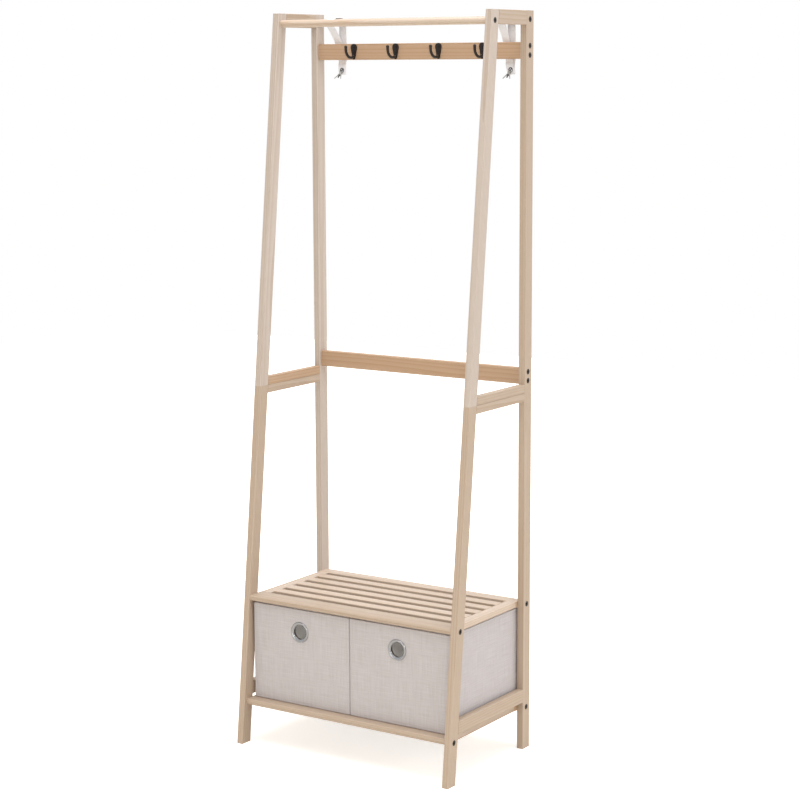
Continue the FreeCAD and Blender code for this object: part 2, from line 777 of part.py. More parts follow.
BACK_LEAF = [
    (f"{REAR_MIDDLE} + {ROD_REACH}", REAR_ROD_HEIGHT),
    (f"{BEHIND_RAIL} + {LEAF_STEP}", f"{HOOK_RAIL_TOP} + strap_drop"),
    (f"{BEHIND_RAIL} + {LEAF_STEP}", f"{RAIL_BOTTOM} - strap_drop"),
    (f"{TAIL_FRONT} + {LEAF_STEP}", TAIL_TOP),
    (f"{TAIL_FRONT} + {LEAF_STEP}", TAIL_END),
]


def strap_leaf(name, x, course):
    """One leaf of a strap, from the rod down to its end."""
    body = doc.addObject("PartDesign::Body", name)
    sketch = sketch_on(body, "YZ_Plane")
    polygon(sketch, course + [(f"{y} + strap_thickness", z) for y, z in reversed(course)])
    padded(body, sketch, "strap_width")
    put(body, f"{x} - strap_width / 2", "0", "0")
    return body


def strap(name, x):
    start = f"{x} - strap_width / 2"
    ring = cylinder(
        name + "_ring", f"2 * ({ROD_REACH} + strap_thickness)", "strap_width",
        (start, REAR_MIDDLE, REAR_ROD_HEIGHT), "+x",
    )
    inside = cylinder(
        name + "_inside", f"2 * {ROD_REACH}", "strap_width + 2 * overrun",
        (f"{start} - overrun", REAR_MIDDLE, REAR_ROD_HEIGHT), "+x",
    )
    below = block(
        name + "_below",
        (f"{start} - overrun", f"{REAR_MIDDLE} - 2 * {ROD_REACH}", f"{REAR_ROD_HEIGHT} - 2 * {ROD_REACH}"),
        "strap_width + 2 * overrun", f"4 * {ROD_REACH}", f"2 * {ROD_REACH}",
    )
    leaves = [strap_leaf(name + "_front_leaf", x, FRONT_LEAF), strap_leaf(name + "_back_leaf", x, BACK_LEAF)]
    hole = cylinder(
        name + "_hole", f"{GROMMET_BARREL} + 2 * fit_gap", f"{TAIL_STACK} + 2 * overrun",
        (x, f"{TAIL_FRONT} - overrun", GROMMET_Z), "+y",
    )
    return cut(name, fused(name + "_band", [cut(name + "_arch", ring, [inside, below]), *leaves]), [hole])


def grommet(name, x):
    """A barrel through both leaves with a flange on each face."""
    front = f"({TAIL_FRONT} - grommet_flange)"
    back = f"({TAIL_FRONT} + {TAIL_STACK})"
    pieces = [
        cylinder(name + "_barrel", GROMMET_BARREL, GROMMET_LENGTH, (x, front, GROMMET_Z), "+y"),
        cylinder(name + "_face", "grommet_outer", "grommet_flange", (x, front, GROMMET_Z), "+y"),
        cylinder(name + "_back", "grommet_outer", "grommet_flange", (x, back, GROMMET_Z), "+y"),
    ]
    hole = cylinder(
        name + "_hole", "grommet_hole", f"{GROMMET_LENGTH} + 2 * overrun",
        (x, f"{front} - overrun", GROMMET_Z), "+y",
    )
    return cut(name, fused(name + "_solid", pieces), [hole])


# Wall screws hang in the grommets, head behind the strap and point drooping to the front, each with its plug


def screw_reach(diameter):
    """How far along the screw from the grommet's middle a disc square to it clears the grommet's face."""
    return f"(({GROMMET_LENGTH} / 2 + rest_gap + {diameter} / 2 * sin({DROOP})) / cos({DROOP}))"


def along_screw(x, distance):
    """A point so far along the drooping screw from the grommet's middle, towards its point."""
    return (
        x,
        f"({TAIL_FRONT} + {TAIL_STACK} / 2 - ({distance}) * cos({DROOP}))",
        f"({GROMMET_Z} - ({distance}) * sin({DROOP}))",
    )


def wall_screw(name, x):
    head_top = along_screw(x, f"0 - {screw_reach('wall_screw_head')} - wall_screw_head_height")
    head = cylinder(name + "_head", "wall_screw_head", "wall_screw_head_height", head_top, "droop")
    shank = cylinder(
        name + "_shank", "wall_screw_shank", "wall_screw_head_height + wall_screw_length", head_top, "droop",
    )
    return fused(name, [head, shank])


def wall_plug(name, x):
    """A collar, a sleeve and two legs that splay from the sleeve's wall, all turned to the screw."""
    mouth = ("0", "0", "0")
    collar = cylinder(name + "_collar", "plug_collar", "plug_collar_height", mouth, "+z")
    sleeve = cylinder(name + "_sleeve", "plug_sleeve", "plug_sleeve_length", mouth, "+z")
    wall = "((plug_sleeve + wall_screw_shank) / 4 + fit_gap / 2)"
    legs = [
        solid(
            "Cone", f"{name}_{side}_leg",
            {"Radius1": "plug_leg / 2", "Radius2": "plug_tip / 2", "Height": "plug_leg_length"},
            (LEFTWARD[side] + wall, "0", "plug_sleeve_length - plug_leg_lap"),
            f"{side} splay",
        )
        for side in SIDES
    ]
    bore = cylinder(
        name + "_bore", "wall_screw_shank + 2 * fit_gap",
        "plug_sleeve_length + plug_leg_length + 2 * overrun", ("0", "0", "-overrun"), "+z",
    )
    plug = cut(name, fused(name + "_solid", [collar, sleeve, *legs]), [bore])
    turned(plug, "droop")
    put(plug, *along_screw(x, screw_reach("plug_collar")))
    return plug


STRAP_X = {"left": f"(strap_left_inset - {INNER_HALF})", "right": f"({INNER_HALF} - strap_right_inset)"}
for side in SIDES:
    subpart(f"anti_tip_strap_{side}", strap(f"strap_{side}", STRAP_X[side]))
group("strap_grommets", [grommet(f"grommet_{side}", STRAP_X[side]) for side in SIDES])
group("wall_screws", [wall_screw(f"wall_screw_{side}", STRAP_X[side]) for side in SIDES])
group("wall_plugs", [wall_plug(f"wall_plug_{side}", STRAP_X[side]) for side in SIDES])

# Fabric boxes: a cover turned in over the top edge, boards in walls and base, a lining, an eyelet in front

BOX_WIDTH = f"((2 * {INNER_HALF} - box_left_slack - box_gap - box_right_slack) / 2)"
BOX_X = {
    "left": f"(box_left_slack - {INNER_HALF})",
    "right": f"({INNER_HALF} - box_right_slack - {BOX_WIDTH})",
}
BOX_Y = f"({BOTTOM_FRONT} + box_front_setback)"
BOX_DEPTH = f"(overall_depth / 2 - box_back_setback - {BOX_Y})"
BOX_Z = "(bottom_rail_height + rest_gap)"
BOX_HEIGHT = f"({SHELF_BOTTOM} - box_headroom - {BOX_Z})"
IN_COVER = "cover_thickness"
IN_BOARDS = "(cover_thickness + board_thickness)"
IN_LINING = "(cover_thickness + board_thickness + lining_thickness)"
EYELET_BARREL = "(eyelet_hole + 2 * eyelet_wall)"
EYELET_Z = f"({BOX_Z} + {BOX_HEIGHT} - eyelet_drop)"
EYELET_OFFSET = {"left": "eyelet_left_offset", "right": "eyelet_right_offset"}


def box_block(name, side, inset, bottom, top):
    """A block that stands in from a box's outer faces all round, between two heights above its bottom."""
    return block(
        name, (f"{BOX_X[side]} + {inset}", f"{BOX_Y} + {inset}", f"{BOX_Z} + {bottom}"),
        f"{BOX_WIDTH} - 2 * {inset}", f"{BOX_DEPTH} - 2 * {inset}", f"{top} - {bottom}",
    )


def eyelet(name, x):
    """A rolled ring, turned about its own axis: flange, barrel and the edge spread over the washer."""
    body = doc.addObject("PartDesign::Body", name)
    sketch = sketch_on(body, "YZ_Plane")
    grip = f"({IN_LINING} + eyelet_washer)"
    profile = [
        ("0 - eyelet_proud", "eyelet_hole / 2 + eyelet_bevel"),
        ("0 - eyelet_proud", "eyelet_outer / 2 - eyelet_bevel"),
        ("eyelet_bevel - eyelet_proud", "eyelet_outer / 2"),
        ("0", "eyelet_outer / 2"),
        ("0", f"{EYELET_BARREL} / 2"),
        (grip, f"{EYELET_BARREL} / 2"),
        (grip, f"{EYELET_BARREL} / 2 + eyelet_turn"),
        (f"{grip} + eyelet_wall", f"{EYELET_BARREL} / 2 + eyelet_turn"),
        (f"{grip} + eyelet_wall", "eyelet_hole / 2"),
        ("eyelet_bevel - eyelet_proud", "eyelet_hole / 2"),
    ]
    polygon(sketch, profile)
    ring = body.newObject("PartDesign::Revolution", name + "_ring")
    ring.Profile = sketch
    ring.ReferenceAxis = (sketch, ["H_Axis"])
    put(body, x, BOX_Y, EYELET_Z)
    return body


def fabric_box(side):
    label = f"box_{side}"
    x = BOX_X[side]
    eyelet_x = f"({x} + {BOX_WIDTH} / 2 - {EYELET_OFFSET[side]})"

    def eyelet_bore(name):
        return cylinder(
            f"{label}_{name}_bore", f"{EYELET_BARREL} + 2 * fit_gap",
            f"{IN_LINING} + eyelet_washer + 2 * overrun",
            (eyelet_x, f"{BOX_Y} - overrun", EYELET_Z), "+y",
        )

    shell = box_block(label + "_outside", side, "0", "0", BOX_HEIGHT)
    inside = box_block(label + "_inside", side, IN_COVER, IN_COVER, f"({BOX_HEIGHT} - cover_thickness)")
    mouth = box_block(label + "_mouth", side, IN_LINING, f"{BOX_HEIGHT} / 2", f"({BOX_HEIGHT} + overrun)")
    subpart(f"{label}_cover", cut(label + "_shell", shell, [inside, mouth, eyelet_bore("cover")]))

    wall_height = f"{BOX_HEIGHT} - 2 * cover_thickness"
    wall_z = f"{BOX_Z} + cover_thickness"
    front = block(
        label + "_front", (f"{x} + {IN_COVER}", f"{BOX_Y} + {IN_COVER}", wall_z),
        f"{BOX_WIDTH} - 2 * cover_thickness", "board_thickness", wall_height,
    )
    subpart(f"{label}_front_board", cut(label + "_front_bored", front, [eyelet_bore("front")]))
    back = block(
        label + "_back", (f"{x} + {IN_COVER}", f"{BOX_Y} + {BOX_DEPTH} - {IN_BOARDS}", wall_z),
        f"{BOX_WIDTH} - 2 * cover_thickness", "board_thickness", wall_height,
    )
    walls = [
        block(
            f"{label}_{name}_wall", (wall_x, f"{BOX_Y} + {IN_BOARDS}", wall_z),
            "board_thickness", f"{BOX_DEPTH} - 2 * {IN_BOARDS}", wall_height,
        )
        for name, wall_x in (("left", f"{x} + {IN_COVER}"), ("right", f"{x} + {BOX_WIDTH} - {IN_BOARDS}"))
    ]
    group(f"{label}_wall_boards", [back, *walls])
    base = box_block(label + "_base", side, f"({IN_BOARDS} + base_board_slack)", IN_COVER, IN_BOARDS)
    subpart(f"{label}_base_board", base)

    pouch = box_block(label + "_pouch", side, IN_BOARDS, IN_BOARDS, f"({BOX_HEIGHT} - cover_thickness)")
    room = box_block(label + "_room", side, IN_LINING, IN_LINING, BOX_HEIGHT)
    subpart(f"{label}_lining", cut(label + "_pouch_open", pouch, [room, eyelet_bore("lining")]))

    subpart(f"{label}_eyelet", eyelet(label + "_ring", eyelet_x))
    washer = cylinder(
        label + "_washer_disc", "eyelet_outer", "eyelet_washer",
        (eyelet_x, f"{BOX_Y} + {IN_LINING}", EYELET_Z), "+y",
    )
    subpart(f"{label}_eyelet_washer", cut(label + "_washer", washer, [eyelet_bore("washer")]))


for side in SIDES:
    fabric_box(side)

# Build, check and write each piece

doc.recompute()
for thing in doc.Objects:
    if {"Invalid", "Error"} & set(thing.State):
        raise RuntimeError(f"{thing.Label} could not be built")
os.makedirs("parts", exist_ok=True)
for label, thing in subparts.items():
    shape = thing.Shape
    if shape.isNull() or not shape.isValid() or not shape.Solids:
        raise RuntimeError(f"{label} has no valid solid")
    shape.exportStep(f"parts/{label}.step")
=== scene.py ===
# %% [markdown]
# An open frame wardrobe, dressed for its picture.
#
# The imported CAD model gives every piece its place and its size, so it is loaded first and never moved. The
# wooden and metal pieces already have the right shape and only need finishes. The soft goods, which are the
# two fabric boxes and the two webbing straps, are plain solids in CAD, so new cloth surfaces stand in for
# them here.

# %% Load the frame and keep its box
import math

import bmesh
import bpy
import numpy as np
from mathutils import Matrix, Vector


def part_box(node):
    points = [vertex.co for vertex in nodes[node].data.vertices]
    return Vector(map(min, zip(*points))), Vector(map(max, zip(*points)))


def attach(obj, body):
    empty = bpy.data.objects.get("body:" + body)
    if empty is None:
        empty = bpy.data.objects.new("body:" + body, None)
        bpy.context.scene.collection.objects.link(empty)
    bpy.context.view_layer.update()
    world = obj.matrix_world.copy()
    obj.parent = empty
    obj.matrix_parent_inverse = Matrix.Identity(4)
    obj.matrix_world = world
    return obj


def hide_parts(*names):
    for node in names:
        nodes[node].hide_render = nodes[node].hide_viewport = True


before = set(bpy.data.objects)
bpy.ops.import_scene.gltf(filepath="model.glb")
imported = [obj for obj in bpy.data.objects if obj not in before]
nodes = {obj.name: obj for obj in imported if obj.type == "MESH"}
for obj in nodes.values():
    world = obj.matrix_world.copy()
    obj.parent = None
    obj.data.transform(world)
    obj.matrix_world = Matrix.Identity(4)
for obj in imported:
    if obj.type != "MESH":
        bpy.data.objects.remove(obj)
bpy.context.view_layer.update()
MM = 0.001


# %% [markdown]
# The camera stands where the photograph was taken from: to the right of the rack, above its middle, with a
# long lens. Matching the rack's corners gave its place and its turn, with a trace of roll.

# %% Camera
LENS_MM = 93.57
SENSOR_MM = 36
CAMERA_PLACE = (2.6948, -3.9688, 1.6051)
CAMERA_TURN_DEG = (80.9, 0.218, 33.608)

view = bpy.data.cameras.new("camera")
view.lens = LENS_MM
view.sensor_width = SENSOR_MM
camera = bpy.data.objects.new("camera", view)
camera.location = CAMERA_PLACE
camera.rotation_euler = np.radians(CAMERA_TURN_DEG)
bpy.context.scene.collection.objects.link(camera)
bpy.context.scene.camera = camera
bpy.context.scene.view_settings.view_transform = "Standard"
print("camera at", CAMERA_PLACE)


# %% [markdown]
# Every finish below is a small tree of shader nodes. One function adds a node, sets its own properties and
# fills or links its sockets, so a finish reads as a list of what it is made of. Colours are written as sRGB
# hex values, as a picker shows them, and turned to the linear values that the renderer works in.

# %% Colours and nodes
def linear(hex_colour):
    """sRGB to linear: a channel c is c / 12.92 up to 0.04045, and ((c + 0.055) / 1.055) to the power 2.4
    above."""
    srgb = np.array([int(hex_colour[i:i + 2], 16) for i in (1, 3, 5)]) / 255
    rgb = np.where(srgb <= 0.04045, srgb / 12.92, ((srgb + 0.055) / 1.055) ** 2.4)
    return (*rgb.tolist(), 1.0)


def add(tree, kind, inputs=None, **settings):
    """Adds one node: settings are its properties, and inputs give its sockets a value or another node's
    output."""
    node = tree.nodes.new("ShaderNode" + kind)
    for name, value in settings.items():
        setattr(node, name, value)
    for socket, value in (inputs or {}).items():
        if isinstance(value, bpy.types.NodeSocket):
            tree.links.new(value, node.inputs[socket])
        else:
            node.inputs[socket].default_value = value
    return node


def finish_named(name, **sockets):
    """A new material with a Principled shader, whose plain sockets are set by name."""
    made = bpy.data.materials.new(name)
    made.use_nodes = True
    shader = made.node_tree.nodes["Principled BSDF"]
    for socket, value in sockets.items():
        shader.inputs[socket.replace("_", " ")].default_value = value
    return made, made.node_tree, shader


# %% [markdown]
# The room is a plain white studio. The world shows as white to the camera and to reflections, and lights
# the rack more softly than that. A wide lamp high overhead makes the tops palest, two on the right make the
# right-hand faces paler than the front ones, and two weak ones in front fill the shade under the shelf and
# inside the frame. The white floor throws light back up. It still takes a faint shadow, and glows towards
# its rim, only to the camera, so that no horizon shows.

# %% World and floor
SKY = "#c3bdb4"
FLOOR_HALF_M = 6.0
FLOOR_GLOW = (0.56, 1.0)
FLOOR_FADE_M = (0.7, 2.2)
FLOOR_PAINT = "#f6f2ea"
WHITE = "#ffffff"

world = bpy.data.worlds.new("studio")
world.use_nodes = True
bpy.context.scene.world = world
tree = world.node_tree
rays = add(tree, "LightPath")
seen = add(
    tree, "Math", {0: rays.outputs["Is Camera Ray"], 1: rays.outputs["Is Glossy Ray"]}, operation="MAXIMUM",
)
seen = add(tree, "Math", {0: seen.outputs[0], 1: rays.outputs["Is Transmission Ray"]}, operation="MAXIMUM")
colour = add(tree, "Mix", {0: seen.outputs[0], 6: linear(SKY), 7: linear(WHITE)}, data_type="RGBA")
tree.links.new(colour.outputs[2], tree.nodes["Background"].inputs["Color"])

paint, tree, shader = finish_named("white_studio_floor", Roughness=0.9)
shader.inputs["Base Color"].default_value = linear(FLOOR_PAINT)
shader.inputs["Emission Color"].default_value = linear(WHITE)
rays = add(tree, "LightPath")
place = add(tree, "TexCoord")
far = add(tree, "VectorMath", {0: place.outputs["Object"]}, operation="LENGTH")
rim = add(
    tree, "MapRange",
    {
        "Value": far.outputs["Value"], "From Min": FLOOR_FADE_M[0], "From Max": FLOOR_FADE_M[1],
        "To Min": FLOOR_GLOW[0], "To Max": FLOOR_GLOW[1],
    },
    interpolation_type="SMOOTHSTEP",
)
glow = add(tree, "Math", {0: rim.outputs["Result"], 1: rays.outputs["Is Camera Ray"]}, operation="MULTIPLY")
tree.links.new(glow.outputs[0], shader.inputs["Emission Strength"])
mesh = bpy.data.meshes.new("floor")
corners = np.array([(-1, -1, 0), (1, -1, 0), (1, 1, 0), (-1, 1, 0)]) * FLOOR_HALF_M
mesh.from_pydata(corners.tolist(), [], [(0, 1, 2, 3)])
mesh.materials.append(paint)
floor = bpy.data.objects.new("floor", mesh)
bpy.context.scene.collection.objects.link(floor)
print("floor", 2 * FLOOR_HALF_M, "m wide")

# %% Lamps
LAMPS = {
    # name: place, what it is aimed at, width in metres, watts, colour
    "overhead": ((0.4, -0.5, 5.5), (0.0, 0.0, 0.6), 3.5, 256, "#fbfdff"),
    "right": ((6.4, -0.4, 2.6), (0.0, 0.0, 0.9), 3.4, 64, "#eef5ff"),
    "behind on the right": ((4.6, 3.4, 1.6), (0.0, 0.0, 0.9), 2.6, 48, "#f4f8ff"),
    "low in front": ((-0.3, -2.3, 0.3), (0.0, 0.0, 0.2), 0.8, 4.5, "#ffffff"),
    "beside the camera": ((2.9, -4.0, 2.0), (0.0, 0.0, 0.7), 0.6, 34, "#fffaf0"),
}
for name, (place, aim, width, watts, colour) in LAMPS.items():
    lamp = bpy.data.lights.new(name, "AREA")
    lamp.size = width
    lamp.energy = watts
    lamp.color = linear(colour)[:3]
    stand = bpy.data.objects.new(name, lamp)
    stand.location = place
    towards = np.subtract(aim, place)
    turn_z = math.atan2(towards[1], towards[0]) - math.pi / 2
    tilt = math.acos(-towards[2] / np.linalg.norm(towards))
    stand.rotation_euler = (tilt, 0, turn_z)
    bpy.context.scene.collection.objects.link(stand)
print(len(LAMPS), "lamps")


# %% [markdown]
# The rack is planed pine under a thin matt lacquer. Pine shows growth rings: pale wood that darkens slowly
# and then stops at a sharp line. A board is cut lengthwise from the log, so its faces cross those rings as
# long streaks, and its ends show them as arcs. An image could fake that on one face, but rings worked out
# in three dimensions round a pith line beside the board agree on every face and at the ends.

# %% Pine
RING_MM = 5.0
RING_STRETCH = 14.0
FIBRE_MM = 0.9
FIBRE_STRETCH = 40.0
WAVE_PERIOD = 2 * math.pi / 20
RING_BEND = {"Distortion": 9.0, "Detail": 2.0, "Detail Scale": 0.3, "Detail Roughness": 0.45}
LATEWOOD_POWER = 2.2
RING_SHADE = 0.6
FIBRE_SHADE = 0.16
NOISE_DETAIL = 3.0
NOISE_SPAN = {"From Min": 0.3, "From Max": 0.7}
END_SPAN = {"From Min": 0.85, "From Max": 0.97, "To Max": 0.7}
PINE_ROUGH = {"To Min": 0.42, "To Max": 0.56}
PINE_RELIEF = 0.25
PINE_RELIEF_MM = 0.08


def planed_wood(name, pith, turn, axis, early, late, end):
    """Rings are a saw-toothed wave of the distance from the pith line, bent by noise that is stretched
    along the grain. Fibres are fine noise, stretched further. Faces square to the grain take the end
    colour."""
    made, tree, shader = finish_named(name, IOR=1.5, Coat_Weight=0.12, Coat_Roughness=0.4)
    place = add(tree, "TexCoord")
    log = add(
        tree, "Mapping",
        {
            "Vector": place.outputs["Object"], "Location": pith, "Rotation": turn,
            "Scale": (RING_STRETCH, 1, 1),
        },
        vector_type="TEXTURE",
    )
    rings = add(
        tree, "TexWave",
        {"Vector": log.outputs[0], "Scale": WAVE_PERIOD / (RING_MM * MM), **RING_BEND},
        wave_type="RINGS", rings_direction="X", wave_profile="SAW",
    )
    latewood = add(tree, "Math", {0: rings.outputs["Fac"], 1: LATEWOOD_POWER}, operation="POWER")
    strands = add(
        tree, "Mapping",
        {
            "Vector": place.outputs["Object"], "Location": pith, "Rotation": turn,
            "Scale": (FIBRE_STRETCH, 1, 1),
        },
        vector_type="TEXTURE",
    )
    fibre = add(
        tree, "TexNoise",
        {"Vector": strands.outputs[0], "Scale": 1 / (FIBRE_MM * MM), "Detail": NOISE_DETAIL},
    )
    streak = add(tree, "MapRange", {"Value": fibre.outputs["Fac"], **NOISE_SPAN})
    shade = add(tree, "Math", {0: latewood.outputs[0], 1: RING_SHADE}, operation="MULTIPLY")
    shade = add(
        tree, "Math", {0: streak.outputs[0], 1: FIBRE_SHADE, 2: shade.outputs[0]}, operation="MULTIPLY_ADD",
    )
    body = add(tree, "Mix", {0: shade.outputs[0], 6: linear(early), 7: linear(late)}, data_type="RGBA")
    facing = add(tree, "VectorMath", {0: place.outputs["Normal"], 1: axis}, operation="DOT_PRODUCT")
    facing = add(tree, "Math", {0: facing.outputs["Value"]}, operation="ABSOLUTE")
    sawn = add(tree, "MapRange", {"Value": facing.outputs[0], **END_SPAN})
    colour = add(
        tree, "Mix", {0: sawn.outputs[0], 6: body.outputs[2], 7: linear(end)}, data_type="RGBA",
    )
    gloss = add(tree, "MapRange", {"Value": streak.outputs[0], **PINE_ROUGH})
    relief = add(
        tree, "Bump",
        {"Strength": PINE_RELIEF, "Distance": PINE_RELIEF_MM * MM, "Height": shade.outputs[0]},
    )
    tree.links.new(colour.outputs[2], shader.inputs["Base Color"])
    tree.links.new(gloss.outputs[0], shader.inputs["Roughness"])
    tree.links.new(relief.outputs[0], shader.inputs["Normal"])
    return made


# %% Boards and the way their grain runs
lower_leg, upper_leg = (np.array(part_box(f"front_leg_right_{half}")[0]) for half in ("lower", "upper"))
LEAN = math.atan((upper_leg[1] - lower_leg[1]) / (upper_leg[2] - lower_leg[2]))
GRAIN = {
    # the way the length of a board runs: the turn that lays a log along it, and the direction itself
    "across": ((0, 0, 0), (1, 0, 0)),
    "back": ((0, 0, math.pi / 2), (0, 1, 0)),
    "up": ((0, -math.pi / 2, 0), (0, 0, 1)),
    "leaning": ((0, LEAN - math.pi / 2, math.pi / 2), (0, math.sin(LEAN), math.cos(LEAN))),
}
PINE = {
    # the pale wood and the dark lines of four tints. They stand partly for the boards' own colours and
    # partly for painted shade: the lower leg halves, the right rear upright and the rails at the back are
    # given darker wood
    "pale": ("#c1b6ad", "#af9885"),
    "tan": ("#b8a695", "#a58b72"),
    "warm": ("#b99b80", "#a4815e"),
    "cream": ("#cebdae", "#b89d83"),
}
RUNS = {
    # the start of a board's name: the way it runs, and its tint, partly painted shade
    "front_leg_left_upper": ("leaning", "pale"), "front_leg_right_upper": ("leaning", "pale"),
    "front_leg": ("leaning", "tan"),
    "rear_upright_left": ("up", "pale"), "rear_upright": ("up", "tan"),
    "upper_mid_rail_left": ("back", "warm"),
    "top_side_rail": ("back", "tan"), "upper_mid_rail": ("back", "tan"), "lower_mid_rail": ("back", "tan"),
    "bottom_side": ("back", "tan"),
    "front_hanging_rod": ("across", "cream"), "rear_top_rod": ("across", "tan"),
    "hook_rail": ("across", "warm"), "mid_back_rail": ("across", "warm"),
    "shelf_side_rail": ("back", "cream"),
    "shelf_front_rail": ("across", "tan"), "shelf_back_rail": ("across", "cream"),
    "shelf_slat": ("across", "cream"),
    "bottom_front_rail": ("across", "tan"), "bottom_back_rail": ("across", "warm"),
}
PINE_END = "#b69a7b"
PITH_AWAY_MM = (30, 70)
draw = np.random.default_rng(20)
boards = [name for name in sorted(nodes) if name.startswith(tuple(RUNS))]
# each board takes its tint, which is partly painted shade where the board lies low or behind
for name in boards:
    run, tint = next(RUNS[start] for start in RUNS if name.startswith(start))
    turn, axis = GRAIN[run]
    lo, hi = (np.array(corner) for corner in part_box(name))
    away = draw.uniform(-1, 1, 3)
    away = away / np.linalg.norm(away) * draw.uniform(*PITH_AWAY_MM) * MM
    wood = planed_wood(
        "lacquered_pine_" + name, tuple((lo + hi) / 2 + away), turn, axis, *PINE[tint], PINE_END,
    )
    nodes[name].data.materials.clear()
    nodes[name].data.materials.append(wood)
print(len(boards), "boards of pine")


# %% [markdown]
# The frame bolts, coat hooks, wall screws and grommets are steel with a baked coat: a brown that is nearly
# black, with a soft shine and the faint ripple that a sprayed coat dries with. Inserts are zinc plated, the
# eyelets nickel plated. The wall plugs are moulded nylon. Dowels are beech, whose rays show as short dark
# flecks, and the boards in the boxes are grey pulp board.

# %% Metals, nylon, beech and greyboard
SPECKLE_RELIEF = 0.3


def speckled(name, pale, dark, grain_mm, rough, relief_mm, **sockets):
    """A base colour that wanders between two shades with noise of a given grain, and with the same noise
    in the roughness and the relief."""
    made, tree, shader = finish_named(name, **sockets)
    place = add(tree, "TexCoord")
    noise = add(
        tree, "TexNoise",
        {"Vector": place.outputs["Object"], "Scale": 1 / (grain_mm * MM), "Detail": NOISE_DETAIL},
    )
    spots = add(tree, "MapRange", {"Value": noise.outputs["Fac"], **NOISE_SPAN})
    colour = add(tree, "Mix", {0: spots.outputs[0], 6: linear(dark), 7: linear(pale)}, data_type="RGBA")
    gloss = add(tree, "MapRange", {"Value": spots.outputs[0], "To Min": rough[0], "To Max": rough[1]})
    relief = add(
        tree, "Bump",
        {"Strength": SPECKLE_RELIEF, "Distance": relief_mm * MM, "Height": noise.outputs["Fac"]},
    )
    tree.links.new(colour.outputs[2], shader.inputs["Base Color"])
    tree.links.new(gloss.outputs[0], shader.inputs["Roughness"])
    tree.links.new(relief.outputs[0], shader.inputs["Normal"])
    return made


black_coat = speckled(
    "black_baked_coat", "#201713", "#140e0c", 1.2, (0.36, 0.46), 0.06, Specular_IOR_Level=0.35,
)
zinc = speckled("zinc_plated_steel", "#c6c8ca", "#a4a7ab", 0.8, (0.28, 0.42), 0.03, Metallic=1.0)
nickel = speckled("nickel_plated_steel", "#a6a6a8", "#929295", 2.0, (0.16, 0.26), 0.02, Metallic=1.0)
nylon = speckled("moulded_nylon", "#999896", "#848381", 1.5, (0.36, 0.46), 0.04, IOR=1.53)
beech = speckled("turned_beech", "#c4a37e", "#a77f59", 1.0, (0.5, 0.6), 0.05)
greyboard = speckled("grey_pulp_board", "#98928a", "#7e7971", 0.9, (0.85, 0.95), 0.1)
DRESS = {
    "frame_bolts": black_coat,
    "threaded_inserts": zinc,
    "hook_screws": black_coat,
    "wall_screws": black_coat,
    "strap_grommets": black_coat,
    "wall_plugs": nylon,
    "wooden_dowels": beech,
    **{f"coat_hook_{number}": black_coat for number in range(1, 5)},
    **{f"box_{side}_eyelet_washer": nickel for side in ("left", "right")},
    **{
        f"box_{side}_{board}": greyboard
        for side in ("left", "right")
        for board in ("front_board", "wall_boards", "base_board")
    },
}
for name, material in DRESS.items():
    nodes[name].data.materials.clear()
    nodes[name].data.materials.append(material)
print(len(DRESS), "small CAD nodes dressed")


# %% [markdown]
# The boxes are covered in a linen-like cloth. Its plain weave passes each thread over one and under the
# next, and thicker threads, the slubs, run through it as faint streaks both ways. The pattern follows a UV
# map that holds real metres on the cloth, so the threads turn the corners with it. The real thread is about
# half a millimetre, too fine to show here, so it is drawn at twice that.

# %% Cloths
SLUB_MM = (60, 2.6)
SLUB_DETAIL = 2.0
SLUB_SPAN = {"From Min": 0.7, "From Max": 1.3}
WEAVE_RELIEF = 0.5


def woven(name, thread_mm, pale, dark, slub, relief_mm, **sockets):
    """Each thread is a rounded ridge, a sine of the distance across it. On alternate squares of a chequer
    the warp or the weft is on top. Slubs are noise stretched one way and the other."""
    made, tree, shader = finish_named(name, **sockets)
    cloth = add(tree, "UVMap", uv_map="cloth").outputs[0]
    pitch = thread_mm * MM
    ridges = [
        add(tree, "TexWave", {"Vector": cloth, "Scale": WAVE_PERIOD / pitch}, bands_direction=way)
        for way in "XY"
    ]
    over = add(tree, "TexChecker", {"Vector": cloth, "Scale": 1 / pitch})
    weave = add(
        tree, "Mix", {0: over.outputs["Fac"], 2: ridges[0].outputs["Fac"], 3: ridges[1].outputs["Fac"]},
    )
    streaks = []
    for long_way in (SLUB_MM, SLUB_MM[::-1]):
        run = add(tree, "Mapping", {"Vector": cloth, "Scale": (*(1 / (mm * MM) for mm in long_way), 1)})
        noise = add(tree, "TexNoise", {"Vector": run.outputs[0], "Scale": 1.0, "Detail": SLUB_DETAIL})
        streaks.append(noise.outputs["Fac"])
    slubs = add(tree, "Math", {0: streaks[0], 1: streaks[1]}, operation="ADD")
    slubs = add(tree, "MapRange", {"Value": slubs.outputs[0], **SLUB_SPAN})
    tone = add(tree, "Mix", {0: slub, 2: weave.outputs[0], 3: slubs.outputs[0]})
    colour = add(tree, "Mix", {0: tone.outputs[0], 6: linear(dark), 7: linear(pale)}, data_type="RGBA")
    relief = add(
        tree, "Bump", {"Strength": WEAVE_RELIEF, "Distance": relief_mm * MM, "Height": tone.outputs[0]},
    )
    tree.links.new(colour.outputs[2], shader.inputs["Base Color"])
    tree.links.new(relief.outputs[0], shader.inputs["Normal"])
    return made


